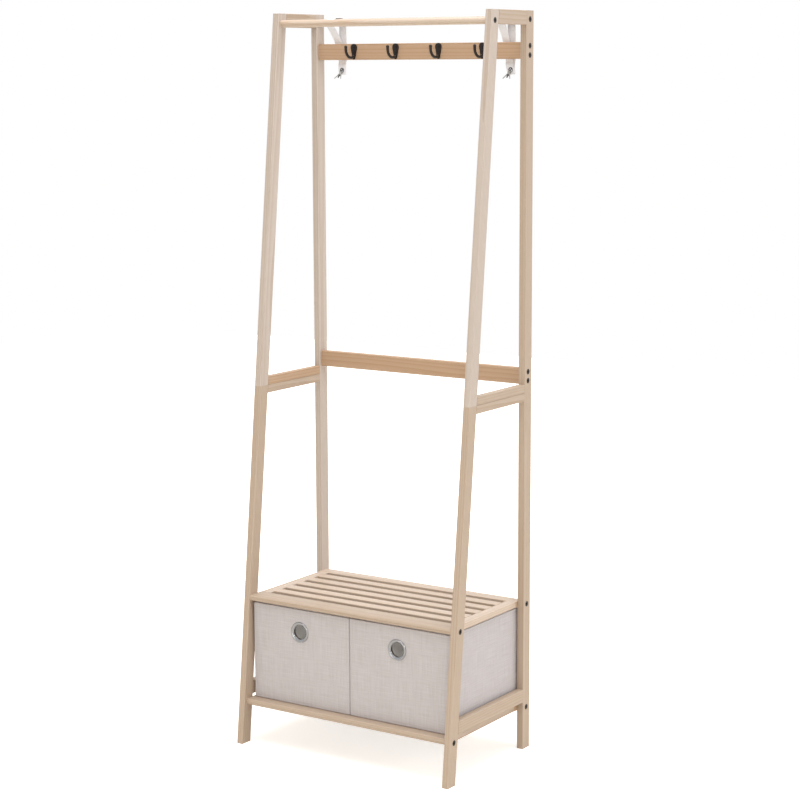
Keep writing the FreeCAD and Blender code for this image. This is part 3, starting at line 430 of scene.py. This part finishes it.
linen = woven(
    "woven_linen_cloth", 1.0, "#cac6c9", "#b5afb0", 0.6, 0.35, Roughness=0.92, Sheen_Weight=0.04,
    Sheen_Roughness=0.5, Specular_IOR_Level=0.2,
)
lining_cloth = woven(
    "spun_lining_cloth", 1.6, "#f4f3f1", "#eae8e5", 0.3, 0.15, Roughness=0.95, Specular_IOR_Level=0.15,
)
webbing = woven(
    "polyester_webbing", 1.4, "#f9faff", "#eaebf4", 0.2, 0.4, Roughness=0.75, Sheen_Weight=0.1,
    Specular_IOR_Level=0.3,
)
thread = speckled("polyester_thread", "#b8b0ad", "#a69d9a", 0.6, (0.6, 0.7), 0.05)
print("cloths:", linen.name, lining_cloth.name, webbing.name)


# %% [markdown]
# Every new piece starts as a grid: rows and columns of points worked out by a formula, joined into four-
# sided faces. The last column can join the first, so a wall goes all the way round, and cells can be left
# out for a hole. Points that fall together, as where a base narrows to its middle, are merged.

# %% Grids of points become meshes
MERGE_M = 1e-7


def grid_mesh(name, points, uv, wrap=False, drop=None):
    """Points (rows, columns, 3) in millimetres become a mesh in metres. Each cell is the face that runs
    along the row first and then up the column, and uv (rows, cells + 1, 2) is in metres on the cloth."""
    rows, columns = points.shape[:2]
    cells = columns if wrap else columns - 1
    i, j = np.meshgrid(np.arange(rows - 1), np.arange(cells), indexing="ij")
    following = (j + 1) % columns
    faces = np.stack(
        [i * columns + j, i * columns + following, (i + 1) * columns + following, (i + 1) * columns + j], -1,
    )
    spread = np.stack([uv[i, j], uv[i, j + 1], uv[i + 1, j + 1], uv[i + 1, j]], -2)
    if drop is not None:
        faces, spread = faces[~drop], spread[~drop]
    mesh = bpy.data.meshes.new(name)
    mesh.from_pydata((points.reshape(-1, 3) * MM).tolist(), [], faces.reshape(-1, 4).tolist())
    mesh.uv_layers.new(name="cloth").data.foreach_set("uv", spread.ravel())
    shape = bmesh.new()
    shape.from_mesh(mesh)
    bmesh.ops.remove_doubles(shape, verts=shape.verts, dist=MERGE_M)
    bmesh.ops.delete(shape, geom=[v for v in shape.verts if not v.link_faces], context="VERTS")
    shape.to_mesh(mesh)
    shape.free()
    mesh.shade_smooth()
    return mesh


def piece(name, mesh, material, body, stands_for=()):
    """Links a mesh as a piece that rides on a body and stands for CAD nodes."""
    mesh.materials.append(material)
    made = bpy.data.objects.new(name, mesh)
    bpy.context.scene.collection.objects.link(made)
    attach(made, body)
    if stands_for:
        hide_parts(*stands_for)
    return made


def thicken(made, thickness_mm):
    """Solidify gives a surface its cloth's thickness, on the side away from where its faces point."""
    wall = made.modifiers.new("thickness", "SOLIDIFY")
    wall.thickness = thickness_mm * MM
    wall.offset = -1
    wall.use_even_offset = True


def box_mm(node):
    """A CAD node's lowest and highest corners in millimetres."""
    return [np.array(corner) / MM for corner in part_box(node)]


def filled(marks, step):
    """Places along a line that hit every mark, with equal steps of at most this step between them."""
    marks = np.unique(np.round(marks, 6))
    counts = np.maximum(1, np.ceil(np.diff(marks) / step - 1e-6)).astype(int)
    spans = [np.linspace(a, b, n, endpoint=False) for a, b, n in zip(marks[:-1], marks[1:], counts)]
    return np.concatenate([*spans, marks[-1:]])


def eased(t):
    """0 below 0, 1 above 1, and a smooth step between."""
    t = np.clip(t, 0, 1)
    return t * t * (3 - 2 * t)


# %% [markdown]
# A box is a sewn bag over boards: one cloth goes under the base, up the four walls, over the rim and a
# little way down inside. Cloth stretched over a board still bellies out between its seams, dips along each
# row of stitches and is pressed flat by the eyelet. A row of the grid is one level of that bag, a rounded
# rectangle, and the rows follow a profile from the middle of the base to the hem.

# %% The plan of a box
CORNER_MM = 3.0
CORNER_TURNS = np.linspace(0, 1, 6)[1:-1]


def plan(lo, hi, radius, marks):
    """A rounded rectangle for each row, walked anticlockwise from its front left corner. Every point is a
    corner's centre, plus a share of the way to the next one, plus the radius in the direction that the
    side faces; past the end of a side that direction turns through a quarter circle."""
    lo, hi = lo + radius[:, None], hi - radius[:, None]
    centres = [lo, np.stack([hi[:, 0], lo[:, 1]], -1), hi, np.stack([lo[:, 0], hi[:, 1]], -1)]
    points, normals = [], []
    for side, shares in enumerate(marks):
        share = np.append(shares, np.ones(len(CORNER_TURNS)))
        quarter = np.append(np.zeros(len(shares)), CORNER_TURNS)
        angle = (side - 1 + quarter) * math.pi / 2
        normal = np.stack([np.cos(angle), np.sin(angle)], -1)
        way = centres[(side + 1) % 4] - centres[side]
        straight = centres[side][:, None] + share[None, :, None] * way[:, None]
        points.append(straight + radius[:, None, None] * normal[None])
        normals.append(normal)
    return np.concatenate(points, 1), np.concatenate(normals)


# %% How the cloth stands on its boards
SEAM_IN_MM = 6.5
SEAM_DIP_MM = 0.4
SEAM_WIDTH_MM = 1.1
BELLY_MM = 0.9
RIPPLE_SHARE = 0.25
RIPPLES = ((2.3, 0.9), (-0.7, 1.4))
PUCKER_SHARE = 0.35
PUCKER_MM = 17
PHASE_STEP = 1.3
PHASES = {"left": 4, "right": 5}


def pillow(share):
    """0 at both ends of a span and 1 in its middle, rising steeply from the ends."""
    return np.sqrt(np.clip(4 * share * (1 - share), 0, 1))


def crossed_waves(x, z, waves, phases):
    """The product of two sines, each with its number of waves along and up the wall and its phase."""
    first, second = (
        np.sin(2 * math.pi * (along * x + up * z) + phase) for (along, up), phase in zip(waves, phases)
    )
    return first * second


def cloth_rise(along, width, up, height, belly, phase):
    """How far the cloth stands off its board, in millimetres: a belly between the edges, shallow ripples
    across it, and a dip along the seam that runs round each wall."""
    x, z = along / width, up / height
    ripple = crossed_waves(x, z, RIPPLES, (phase, 2 * phase))
    rise = pillow(x) * pillow(z) * (belly + RIPPLE_SHARE * belly * ripple)
    reach = np.minimum(np.minimum(along, width - along), np.minimum(up, height - up)) - SEAM_IN_MM
    pucker = 1 + PUCKER_SHARE * np.sin(2 * math.pi * (along + up) / PUCKER_MM)
    return rise - SEAM_DIP_MM * pucker * np.exp(-(reach / SEAM_WIDTH_MM) ** 2)


# %% [markdown]
# The cover is that bag with a hole in its front. Near the hole the square cells are drawn round: a point's
# distance is counted in square rings from the eyelet's middle, and each ring is pulled towards the circle
# that fits in it, fully at the hole and not at all a little way off.

# %% The cover of a box
PROUD_MM = 0.6
COVER_MM = 0.9
FOLD_MM = 2.5
RIM_MM = 2.0
RIM_WIDE_MM = 6.5
HEM_MM = 18.0
HOLE_MM = 19.0
ROUND_OFF_MM = 33.0
PRESSED_MM = 26.0
PRESS_FADE_MM = 22
STEP_MM = 4.5
SEAM_MARKS = SEAM_IN_MM + SEAM_WIDTH_MM * np.arange(-2, 3)
BASE_SHARES = (0, 0.3, 0.6, 0.85)


def both_ends(marks, length):
    """Marks measured from one end of a line, and the same from the other."""
    return np.concatenate([[0], marks, length - np.asarray(marks), [length]])


def drawn_round(offsets, hole, limit):
    """Square rings about the origin become circles at the hole and stay square at the rounding's limit."""
    ring = np.abs(offsets).max(-1, keepdims=True)
    far = np.linalg.norm(offsets, axis=-1, keepdims=True)
    pull = eased((limit - ring) / (limit - hole))
    return offsets * (1 - pull + pull * ring / np.maximum(far, 1e-9))


def wall_marks(width, depth, radius, hole_at):
    """Where the four walls are sampled, as shares of their straight runs; the front one hits the hole's
    marks."""
    holes = hole_at - radius + np.array([-1, 1])[:, None] * np.array([HOLE_MM, ROUND_OFF_MM])
    shares = []
    for length, extra in ((width, holes.ravel()), (depth, []), (width, []), (depth, [])):
        run = length - 2 * radius
        shares.append(filled(np.append(both_ends(SEAM_MARKS - radius, run), extra), STEP_MM) / run)
    return shares


def bag(lo, hi, profile, marks, hole, rise_at):
    """The points and UVs of a bag. The profile's rows are (inset from the walls, share of the way from the
    base's middle, corner radius, height, 1 on a wall), hole is the eyelet's (x, z), and rise_at says how
    far each wall point stands off."""
    inset, share, radius, level, on_wall = profile.T
    middle = (lo + hi)[:2] / 2
    half = (hi - lo)[:2] / 2 - inset[:, None]
    flat, normal = plan(middle - half * share[:, None], middle + half * share[:, None], radius, marks)
    points = np.dstack([flat, np.broadcast_to(level[:, None], flat.shape[:2])])
    outline = flat[int(np.argmax(on_wall))]
    steps = np.linalg.norm(np.diff(outline, axis=0, append=outline[:1]), axis=1)
    around = np.concatenate([[0], np.cumsum(steps)])
    climb = np.hypot(np.diff(inset, prepend=inset[0]), np.diff(level, prepend=level[0])).cumsum()
    uv = np.dstack(np.meshgrid(around, climb))
    front = len(marks[0])
    rows = on_wall > 0
    offsets = points[:, :front][:, :, [0, 2]] - hole
    near = (np.abs(offsets).max(-1) < ROUND_OFF_MM) & rows[:, None]
    moved = np.where(near[..., None], drawn_round(offsets, HOLE_MM, ROUND_OFF_MM) - offsets, 0)
    points[:, :front, 0] += moved[..., 0]
    points[:, :front, 2] += moved[..., 1]
    uv[:, :front] += moved
    under = share < 1
    uv[under, :-1] = points[under][..., :2]
    uv[under, -1] = points[under][:, 0, :2]
    points[..., :2] += normal * (rise_at(points) * rows[:, None])[..., None]
    mid = (offsets[:-1, :-1] + offsets[1:, 1:]) / 2
    drop = np.zeros((len(level) - 1, points.shape[1]), bool)
    drop[:, :front - 1] = (np.abs(mid).max(-1) < HOLE_MM) & rows[1:, None]
    return points, uv * MM, drop


# %% Profiles, and where each box's walls are
def wall_places(points, lo, hi):
    """Which wall each point is on, how far along it and its width: the wall whose face is nearest."""
    x, y = points[..., 0], points[..., 1]
    gaps = np.stack([y - lo[1], hi[0] - x, hi[1] - y, x - lo[0]])
    side = np.abs(gaps).argmin(0)
    sideways = side % 2 == 1
    along = np.where(sideways, y - lo[1], x - lo[0])
    width = np.where(sideways, hi[1] - lo[1], hi[0] - lo[0])
    return side, along, width


def cover_profile(base, top, hole_z):
    """Middle of the base, fold, wall, rim, hem."""
    quarter = np.linspace(0, math.pi / 2, 5)
    holes = hole_z + np.array([-ROUND_OFF_MM, -HOLE_MM, HOLE_MM, ROUND_OFF_MM])
    seams = both_ends(SEAM_MARKS, top - base)[1:-1] + base
    levels = filled(np.concatenate([[base + FOLD_MM, top - RIM_MM], seams, holes]), STEP_MM)
    rows = [[FOLD_MM, share, CORNER_MM * share, base, 0] for share in BASE_SHARES]
    rows += [
        [FOLD_MM * (1 - math.sin(a)), 1, CORNER_MM, base + FOLD_MM * (1 - math.cos(a)), 0]
        for a in quarter[:-1]
    ]
    rows += [[0, 1, CORNER_MM, level, 1] for level in levels]
    for a in quarter[1:]:
        inset = RIM_MM * (1 - math.cos(a))
        rows.append([inset, 1, CORNER_MM - inset, top - RIM_MM * (1 - math.sin(a)), 0])
    inner = RIM_WIDE_MM - RIM_MM
    rows += [[inner + RIM_MM * math.sin(a), 1, 1, top - RIM_MM * (1 - math.cos(a)), 0] for a in quarter]
    hem = filled([RIM_MM, HEM_MM], STEP_MM)[1:]
    return np.array(rows + [[RIM_WIDE_MM, 1, 1, top - down, 0] for down in hem])


# %% Sew the covers
BELLIES = {"left": np.array([1, 0.35, 1, 1]), "right": np.array([1, 1, 1, 0.35])}
boxes = {}
for side in ("left", "right"):
    lo, hi = box_mm(f"box_{side}_cover")
    eyelet_lo, eyelet_hi = box_mm(f"box_{side}_eyelet")
    hole = ((eyelet_lo + eyelet_hi) / 2)[[0, 2]]
    lo = lo - [PROUD_MM, PROUD_MM, 0]
    hi = hi + [PROUD_MM, PROUD_MM, PROUD_MM]
    boxes[side] = lo, hi, hole

    def rise_at(points, side=side, lo=lo, hi=hi, hole=hole):
        wall, along, width = wall_places(points, lo, hi)
        up, height = points[..., 2] - lo[2], hi[2] - lo[2]
        belly = BELLY_MM * BELLIES[side][wall]
        rise = cloth_rise(along, width, up, height, belly, PHASE_STEP * wall + PHASES[side])
        far = np.hypot(points[..., 0] - hole[0], points[..., 2] - hole[1])
        flat = np.where(wall == 0, eased((far - PRESSED_MM) / PRESS_FADE_MM), 1)
        return flat * rise - (1 - flat) * PROUD_MM

    width, depth = (hi - lo)[:2]
    marks = wall_marks(width, depth, CORNER_MM, hole[0] - lo[0])
    profile = cover_profile(lo[2], hi[2], hole[1])
    points, uv, drop = bag(lo, hi, profile, marks, hole, rise_at)
    mesh = grid_mesh(f"box_{side}_cover_cloth", points, uv, wrap=True, drop=drop)
    cover = piece(
        f"box_{side}_cover_cloth", mesh, linen, f"box_{side}", [f"box_{side}_cover"],
    )
    thicken(cover, COVER_MM)
    print(cover.name, points.shape[:2], "points,", len(mesh.polygons), "faces")


# %% [markdown]
# Inside, a thinner lining makes a second bag. Nobody pulls it tight, so it wanders further from its boards
# than the cover does, and its base lies in low waves. It faces inwards, so its faces are turned round.

# %% Hang the linings
LINING_IN_MM = 0.8
LINING_MM = 0.6
LINING_FOLD_MM = 5.0
LINING_SLACK_MM = 0.7
LINING_SHY_MM = 1.0
LINING_STEP_MM = 6.0
LINING_BASE_SHARES = np.linspace(0, 0.95, 12)
LINING_WAVES = ((1.6, 0.5), (-1.1, 0.9))
LINING_PHASE = 2
LINING_WAVE_SHARE = 0.7
BASE_WAVE_MM = 0.5
BASE_WAVE_RUNS_MM = (31, 43)
BASE_WAVE_POWER = 4


def lining_profile(base, top, hole_z):
    """Middle of the base, a soft fold, and a wall that ends under the rim."""
    quarter = np.linspace(0, math.pi / 2, 6)
    holes = hole_z + np.array([-ROUND_OFF_MM, -HOLE_MM, HOLE_MM, ROUND_OFF_MM])
    levels = filled(np.concatenate([[base + LINING_FOLD_MM, top - LINING_SHY_MM], holes]), LINING_STEP_MM)
    rows = [[LINING_FOLD_MM, share, CORNER_MM * share, base, 0] for share in LINING_BASE_SHARES]
    rows += [
        [LINING_FOLD_MM * (1 - math.sin(a)), 1, CORNER_MM, base + LINING_FOLD_MM * (1 - math.cos(a)), 0]
        for a in quarter[:-1]
    ]
    return np.array(rows + [[0, 1, CORNER_MM, level, 1] for level in levels])


for side in ("left", "right"):
    lo, hi = box_mm(f"box_{side}_lining")
    lo, hi = lo + LINING_IN_MM, hi - [LINING_IN_MM, LINING_IN_MM, 0]
    hole = boxes[side][2]

    def slack_at(points, lo=lo, hi=hi, hole=hole):
        wall, along, width = wall_places(points, lo, hi)
        x, z = along / width, (points[..., 2] - lo[2]) / (hi[2] - lo[2])
        wave = crossed_waves(x, z, LINING_WAVES, (wall, LINING_PHASE))
        swing = (1 + LINING_WAVE_SHARE * wave) / (1 + LINING_WAVE_SHARE)
        far = np.hypot(points[..., 0] - hole[0], points[..., 2] - hole[1])
        flat = np.where(wall == 0, eased((far - PRESSED_MM) / PRESS_FADE_MM), 1)
        return -flat * pillow(x) * pillow(z) * LINING_SLACK_MM * swing

    width, depth = (hi - lo)[:2]
    marks = wall_marks(width, depth, CORNER_MM, hole[0] - lo[0])
    profile = lining_profile(lo[2], hi[2], hole[1])
    points, uv, drop = bag(lo, hi, profile, marks, hole, slack_at)
    base = profile[:, 1] < 1
    x, y = points[base][..., 0], points[base][..., 1]
    wave = 1 + np.sin(x / BASE_WAVE_RUNS_MM[0]) * np.sin(y / BASE_WAVE_RUNS_MM[1])
    points[base, :, 2] += BASE_WAVE_MM * wave * (1 - profile[base, 1][:, None] ** BASE_WAVE_POWER)
    mesh = grid_mesh(f"box_{side}_lining_cloth", points, uv, wrap=True, drop=drop)
    mesh.flip_normals()
    lining = piece(
        f"box_{side}_lining_cloth", mesh, lining_cloth, f"box_{side}",
        [f"box_{side}_lining"],
    )
    thicken(lining, LINING_MM)
    print(lining.name, points.shape[:2], "points")


# %% [markdown]
# Rows of lockstitch close each wall's pocket over its board. A stitch is a short bead of thread that rises
# from the cloth and dives back in. One bead is worked out once and then copied to every place by arrays,
# because there are hundreds of them and each is only a few faces.

# %% Stitch the covers
STITCH_MM = 3.1
STITCH_PITCH_MM = 4.4
THREAD_MM = 0.55
BEAD_RINGS = 6
BEAD_LIFT = 0.45
BEAD_DIVE = 1.6
UPWARD = np.array([0, 0, 1.0])


def stitch_rows(side):
    """The places of the stitches on a box's four walls, and the directions along, out of and across
    each."""
    lo, hi = boxes[side][:2]
    width, depth = (hi - lo)[:2]
    height = hi[2] - lo[2]
    starts = [lo[:2], np.array([hi[0], lo[1]]), hi[:2], np.array([lo[0], hi[1]])]
    places, ways, outs = [], [], []
    for wall, run in enumerate((width, depth, width, depth)):
        angle = (wall - 1) * math.pi / 2
        out = np.array([math.cos(angle), math.sin(angle), 0])
        way = np.array([-out[1], out[0], 0])
        level = np.arange(SEAM_IN_MM, run - SEAM_IN_MM, STITCH_PITCH_MM)
        rising = np.arange(SEAM_IN_MM, height - SEAM_IN_MM, STITCH_PITCH_MM)
        for along, up, course in (
            (level, np.full_like(level, SEAM_IN_MM), way),
            (level, np.full_like(level, height - SEAM_IN_MM), way),
            (np.full_like(rising, SEAM_IN_MM), rising, UPWARD),
            (np.full_like(rising, run - SEAM_IN_MM), rising, UPWARD),
        ):
            belly = BELLY_MM * BELLIES[side][wall]
            rise = cloth_rise(along, run, up, height, belly, PHASE_STEP * wall + PHASES[side])
            flat = np.append(starts[wall], lo[2]) + along[:, None] * way + up[:, None] * UPWARD
            places.append(flat + rise[:, None] * out)
            ways.append(np.broadcast_to(course, flat.shape))
            outs.append(np.broadcast_to(out, flat.shape))
    places, ways, outs = (np.concatenate(part) for part in (places, ways, outs))
    return places, ways, outs, np.cross(ways, outs)


def bead():
    """A stitch at the origin along its first axis: rings whose size is a half ellipse of their place along
    it, on a line that arches out and dives in at both ends."""
    share = np.linspace(-1, 1, BEAD_RINGS)[:, None]
    angle = np.linspace(0, 2 * math.pi, BEAD_RINGS)[None]
    size = THREAD_MM / 2 * np.sqrt(1 - share ** 2)
    along = np.broadcast_to(share * STITCH_MM / 2, (BEAD_RINGS, BEAD_RINGS))
    out = size * np.cos(angle) + THREAD_MM * BEAD_LIFT * (1 - BEAD_DIVE * share ** 2)
    return np.dstack([along, out, size * np.sin(angle)])


for side in ("left", "right"):
    places, ways, outs, across = stitch_rows(side)
    axes = np.stack([ways, outs, across], 1)
    beads = np.einsum("rca,nab->nrcb", bead(), axes) + places[:, None, None]
    count = len(places)
    corner = np.arange(BEAD_RINGS ** 2).reshape(BEAD_RINGS, BEAD_RINGS)
    cell = np.stack([corner[:-1, :-1], corner[:-1, 1:], corner[1:, 1:], corner[1:, :-1]], -1)
    faces = (cell.reshape(1, -1, 4) + BEAD_RINGS ** 2 * np.arange(count)[:, None, None]).reshape(-1, 4)
    mesh = bpy.data.meshes.new(f"box_{side}_stitching")
    mesh.from_pydata((beads.reshape(-1, 3) * MM).tolist(), [], faces.tolist())
    shape = bmesh.new()
    shape.from_mesh(mesh)
    bmesh.ops.remove_doubles(shape, verts=shape.verts, dist=MERGE_M)
    bmesh.ops.recalc_face_normals(shape, faces=shape.faces)
    shape.to_mesh(mesh)
    shape.free()
    mesh.shade_smooth()
    piece(f"box_{side}_stitching", mesh, thread, f"box_{side}")
    print(count, "stitches on the", side, "box,", len(mesh.polygons), "faces")


# %% [markdown]
# The finger hole in each box has a pressed eyelet. Its lip is drawn over in one smooth dome, and the end of
# its barrel is rolled out over a washer inside. It is a turned shape: one profile carried round the hole's
# axis.

# %% Turn the eyelets
TURNS = 72
EYELET_HOLE_MM = 17.5
EYELET_LIP_MM = 2.4
EYELET_WALL_MM = 1.0
EYELET_ROLL_MM = 2.6
EYELET_RIM_MM = 0.8
DOME_LEAN = 0.6
DOME_FULL = 0.7


def eyelet_profile(hole, outer, proud, grip):
    """Radius and depth round the ring's section: a domed lip, down the bore, a rolled edge behind the
    washer, and back along the outside of the barrel to the lip. With t from 0 at the lip's outer rim to 1
    at its inner one, the lip's height is the sine of pi times t to the power of the lean, to the power of
    the fullness: it rises steeply from the outer rim."""
    dome = np.linspace(0, math.pi, 19)
    roll = np.linspace(math.pi, 0, 9)
    lip_r = (outer + hole) / 2 + (outer - hole) / 2 * np.cos(dome)
    lip_y = -proud * np.sin(math.pi * ((1 - np.cos(dome)) / 2) ** DOME_LEAN) ** DOME_FULL
    roll_r = hole + EYELET_ROLL_MM / 2 + EYELET_ROLL_MM / 2 * np.cos(roll)
    roll_y = grip + EYELET_WALL_MM * np.sin(roll)
    back_r = np.array([hole + EYELET_WALL_MM, hole + EYELET_WALL_MM, outer - EYELET_RIM_MM])
    back_y = np.array([grip, 0.0, 0.0])
    return np.concatenate([lip_r, roll_r, back_r]), np.concatenate([lip_y, roll_y, back_y])


for side in ("left", "right"):
    lo, hi = box_mm(f"box_{side}_eyelet")
    centre = (lo + hi) / 2
    outer = (hi[0] - lo[0]) / 2
    face = lo[1] + EYELET_LIP_MM
    radius, depth = eyelet_profile(EYELET_HOLE_MM, outer, EYELET_LIP_MM, hi[1] - face - EYELET_WALL_MM)
    angle = np.linspace(0, 2 * math.pi, TURNS, endpoint=False)
    ring = np.dstack([
        centre[0] + radius * np.cos(angle)[:, None],
        np.broadcast_to(face + depth, (TURNS, len(radius))),
        centre[2] + radius * np.sin(angle)[:, None],
    ])
    closed = np.concatenate([ring, ring[:1]])
    uv = np.zeros((TURNS + 1, len(radius) + 1, 2))
    mesh = grid_mesh(f"box_{side}_eyelet_ring", closed, uv, wrap=True)
    shape = bmesh.new()
    shape.from_mesh(mesh)
    bmesh.ops.recalc_face_normals(shape, faces=shape.faces)
    shape.to_mesh(mesh)
    shape.free()
    piece(f"box_{side}_eyelet_ring", mesh, nickel, f"box_{side}", [f"box_{side}_eyelet"])
    print("eyelet", side, len(mesh.polygons), "faces")


# %% [markdown]
# Each anti-tip strap is one length of flat webbing, doubled over the rear rod so that both leaves go down
# behind the hook rail and hang below it, where one grommet goes through both. The back leaf hangs straight.
# The front one was laid askew, so it slants from the rod to the grommet and shows beside the other. A strap
# is worked out flat first, with the grommet's holes drawn round as on the boxes, and then laid along its
# path.

# %% The path of a strap
WEB_MM = 20.0
WEB_THICK_MM = 0.9
WEB_APART_MM = 0.65
WEB_OFF_ROD_MM = 0.8
# how far along the leaf it stays straight above the grommet, below and above the hook rail and below the rod
STRAIGHT_MM = {"grommet": 13, "rail below": 4, "rail above": 2, "rod": 7}
ROUNDINGS = 3


def corner_cut(points, times):
    """Every corner gives way to two points, a quarter and three quarters along its sides, which rounds it
    more at each time; both ends stay."""
    for _ in range(times):
        first, second = points[:-1], points[1:]
        pairs = np.stack([0.75 * first + 0.25 * second, 0.25 * first + 0.75 * second], 1).reshape(-1, 3)
        points = np.concatenate([points[:1], pairs, points[-1:]])
    return points


def strap_path(x, rod, rail, grommet, end, slants):
    """Up the front leaf, over the rod and down the back leaf, first as (share of the way over, y, z). Then
    x is added: each leaf strays by its slant times a power of how far up it is from the grommet to the
    rod."""
    (rod_y, rod_z, radius), (behind, top, bottom), (grommet_y, grommet_z) = rod, rail, grommet
    radius += WEB_OFF_ROD_MM
    turns = np.linspace(math.pi, 0, 9)
    over = np.stack(
        [(1 + np.cos(turns)) / 2, rod_y + radius * np.cos(turns), rod_z + radius * np.sin(turns)], -1,
    )
    leaves = []
    for leaf, apart, reach in ((0, -WEB_APART_MM, -radius), (1, WEB_APART_MM, radius)):
        back = behind + WEB_OFF_ROD_MM + WEB_APART_MM + apart
        leaves.append([
            (leaf, grommet_y + apart, end),
            (leaf, grommet_y + apart, grommet_z + STRAIGHT_MM["grommet"]),
            (leaf, back, bottom - STRAIGHT_MM["rail below"]),
            (leaf, back, top + STRAIGHT_MM["rail above"]),
            (leaf, rod_y + reach, rod_z - STRAIGHT_MM["rod"]),
        ])
    crossed, y, z = corner_cut(np.concatenate([leaves[0], over, leaves[1][::-1]]), ROUNDINGS).T
    up = (z - grommet_z) / (rod_z - grommet_z)
    stray = [slant * np.sign(up) * np.abs(up) ** power for slant, power in slants]
    return np.stack([x + (1 - crossed) * stray[0] + crossed * stray[1], y, z], -1)


# %% Lay the straps
WEB_HOLE_MM = 4.75
WEB_ROUND_MM = 8.5
WEB_STEP_MM = 1.6
SLANTS = {
    # the front and the back leaf: how far each strays at the rod, and the power that bends it
    "left": ((-28.0, 1.6), (-1.5, 1.0)),
    "right": ((-19.0, 0.8), (-1.5, 1.0)),
}
rod_lo, rod_hi = box_mm("rear_top_rod")
rail_lo, rail_hi = box_mm("hook_rail")
grommet = np.mean(box_mm("strap_grommets"), 0)[1:]
rod = ((rod_lo[1] + rod_hi[1]) / 2, (rod_lo[2] + rod_hi[2]) / 2, (rod_hi[2] - rod_lo[2]) / 2)
ring_marks = np.array([-WEB_ROUND_MM, -WEB_HOLE_MM, WEB_HOLE_MM, WEB_ROUND_MM])
for side in ("left", "right"):
    lo, hi = box_mm(f"anti_tip_strap_{side}")
    path = strap_path(
        (lo[0] + hi[0]) / 2, rod, (rail_hi[1], rail_hi[2], rail_lo[2]), grommet, lo[2], SLANTS[side],
    )
    run = np.concatenate([[0], np.cumsum(np.linalg.norm(np.diff(path, axis=0), axis=1))])
    length = run[-1]
    course = np.gradient(path, run, axis=0)
    level = np.array([1.0, 0, 0]) - course[:, :1] * course / (course ** 2).sum(1, keepdims=True)
    level /= np.linalg.norm(level, axis=1, keepdims=True)
    half = len(path) // 2
    holes = (
        np.interp(grommet[1], path[:half, 2], run[:half]),
        np.interp(-grommet[1], -path[half:, 2], run[half:]),
    )
    t = filled(np.append(ring_marks, [-WEB_MM / 2, WEB_MM / 2]), WEB_STEP_MM)
    s = filled(np.concatenate([[0, length], *(hole + ring_marks for hole in holes)]), WEB_STEP_MM)
    flat = np.dstack(np.meshgrid(t, s))
    drop = np.zeros((len(s) - 1, len(t) - 1), bool)
    for hole in holes:
        offsets = flat - [0, hole]
        near = np.abs(offsets).max(-1, keepdims=True) < WEB_ROUND_MM
        flat = np.where(near, drawn_round(offsets, WEB_HOLE_MM, WEB_ROUND_MM) + [0, hole], flat)
        drop |= np.abs((offsets[:-1, :-1] + offsets[1:, 1:]) / 2).max(-1) < WEB_HOLE_MM
    middle, across = (
        np.stack([np.interp(flat[..., 1], run, line[:, i]) for i in range(3)], -1)
        for line in (path, level)
    )
    mesh = grid_mesh(f"anti_tip_webbing_{side}", middle + flat[..., :1] * across, flat * MM, drop=drop)
    strap = piece(
        f"anti_tip_webbing_{side}", mesh, webbing, "frame", [f"anti_tip_strap_{side}"],
    )
    wall = strap.modifiers.new("thickness", "SOLIDIFY")
    wall.thickness = WEB_THICK_MM * MM
    wall.offset = 0
    print(strap.name, f"{length:.1f} mm of webbing")
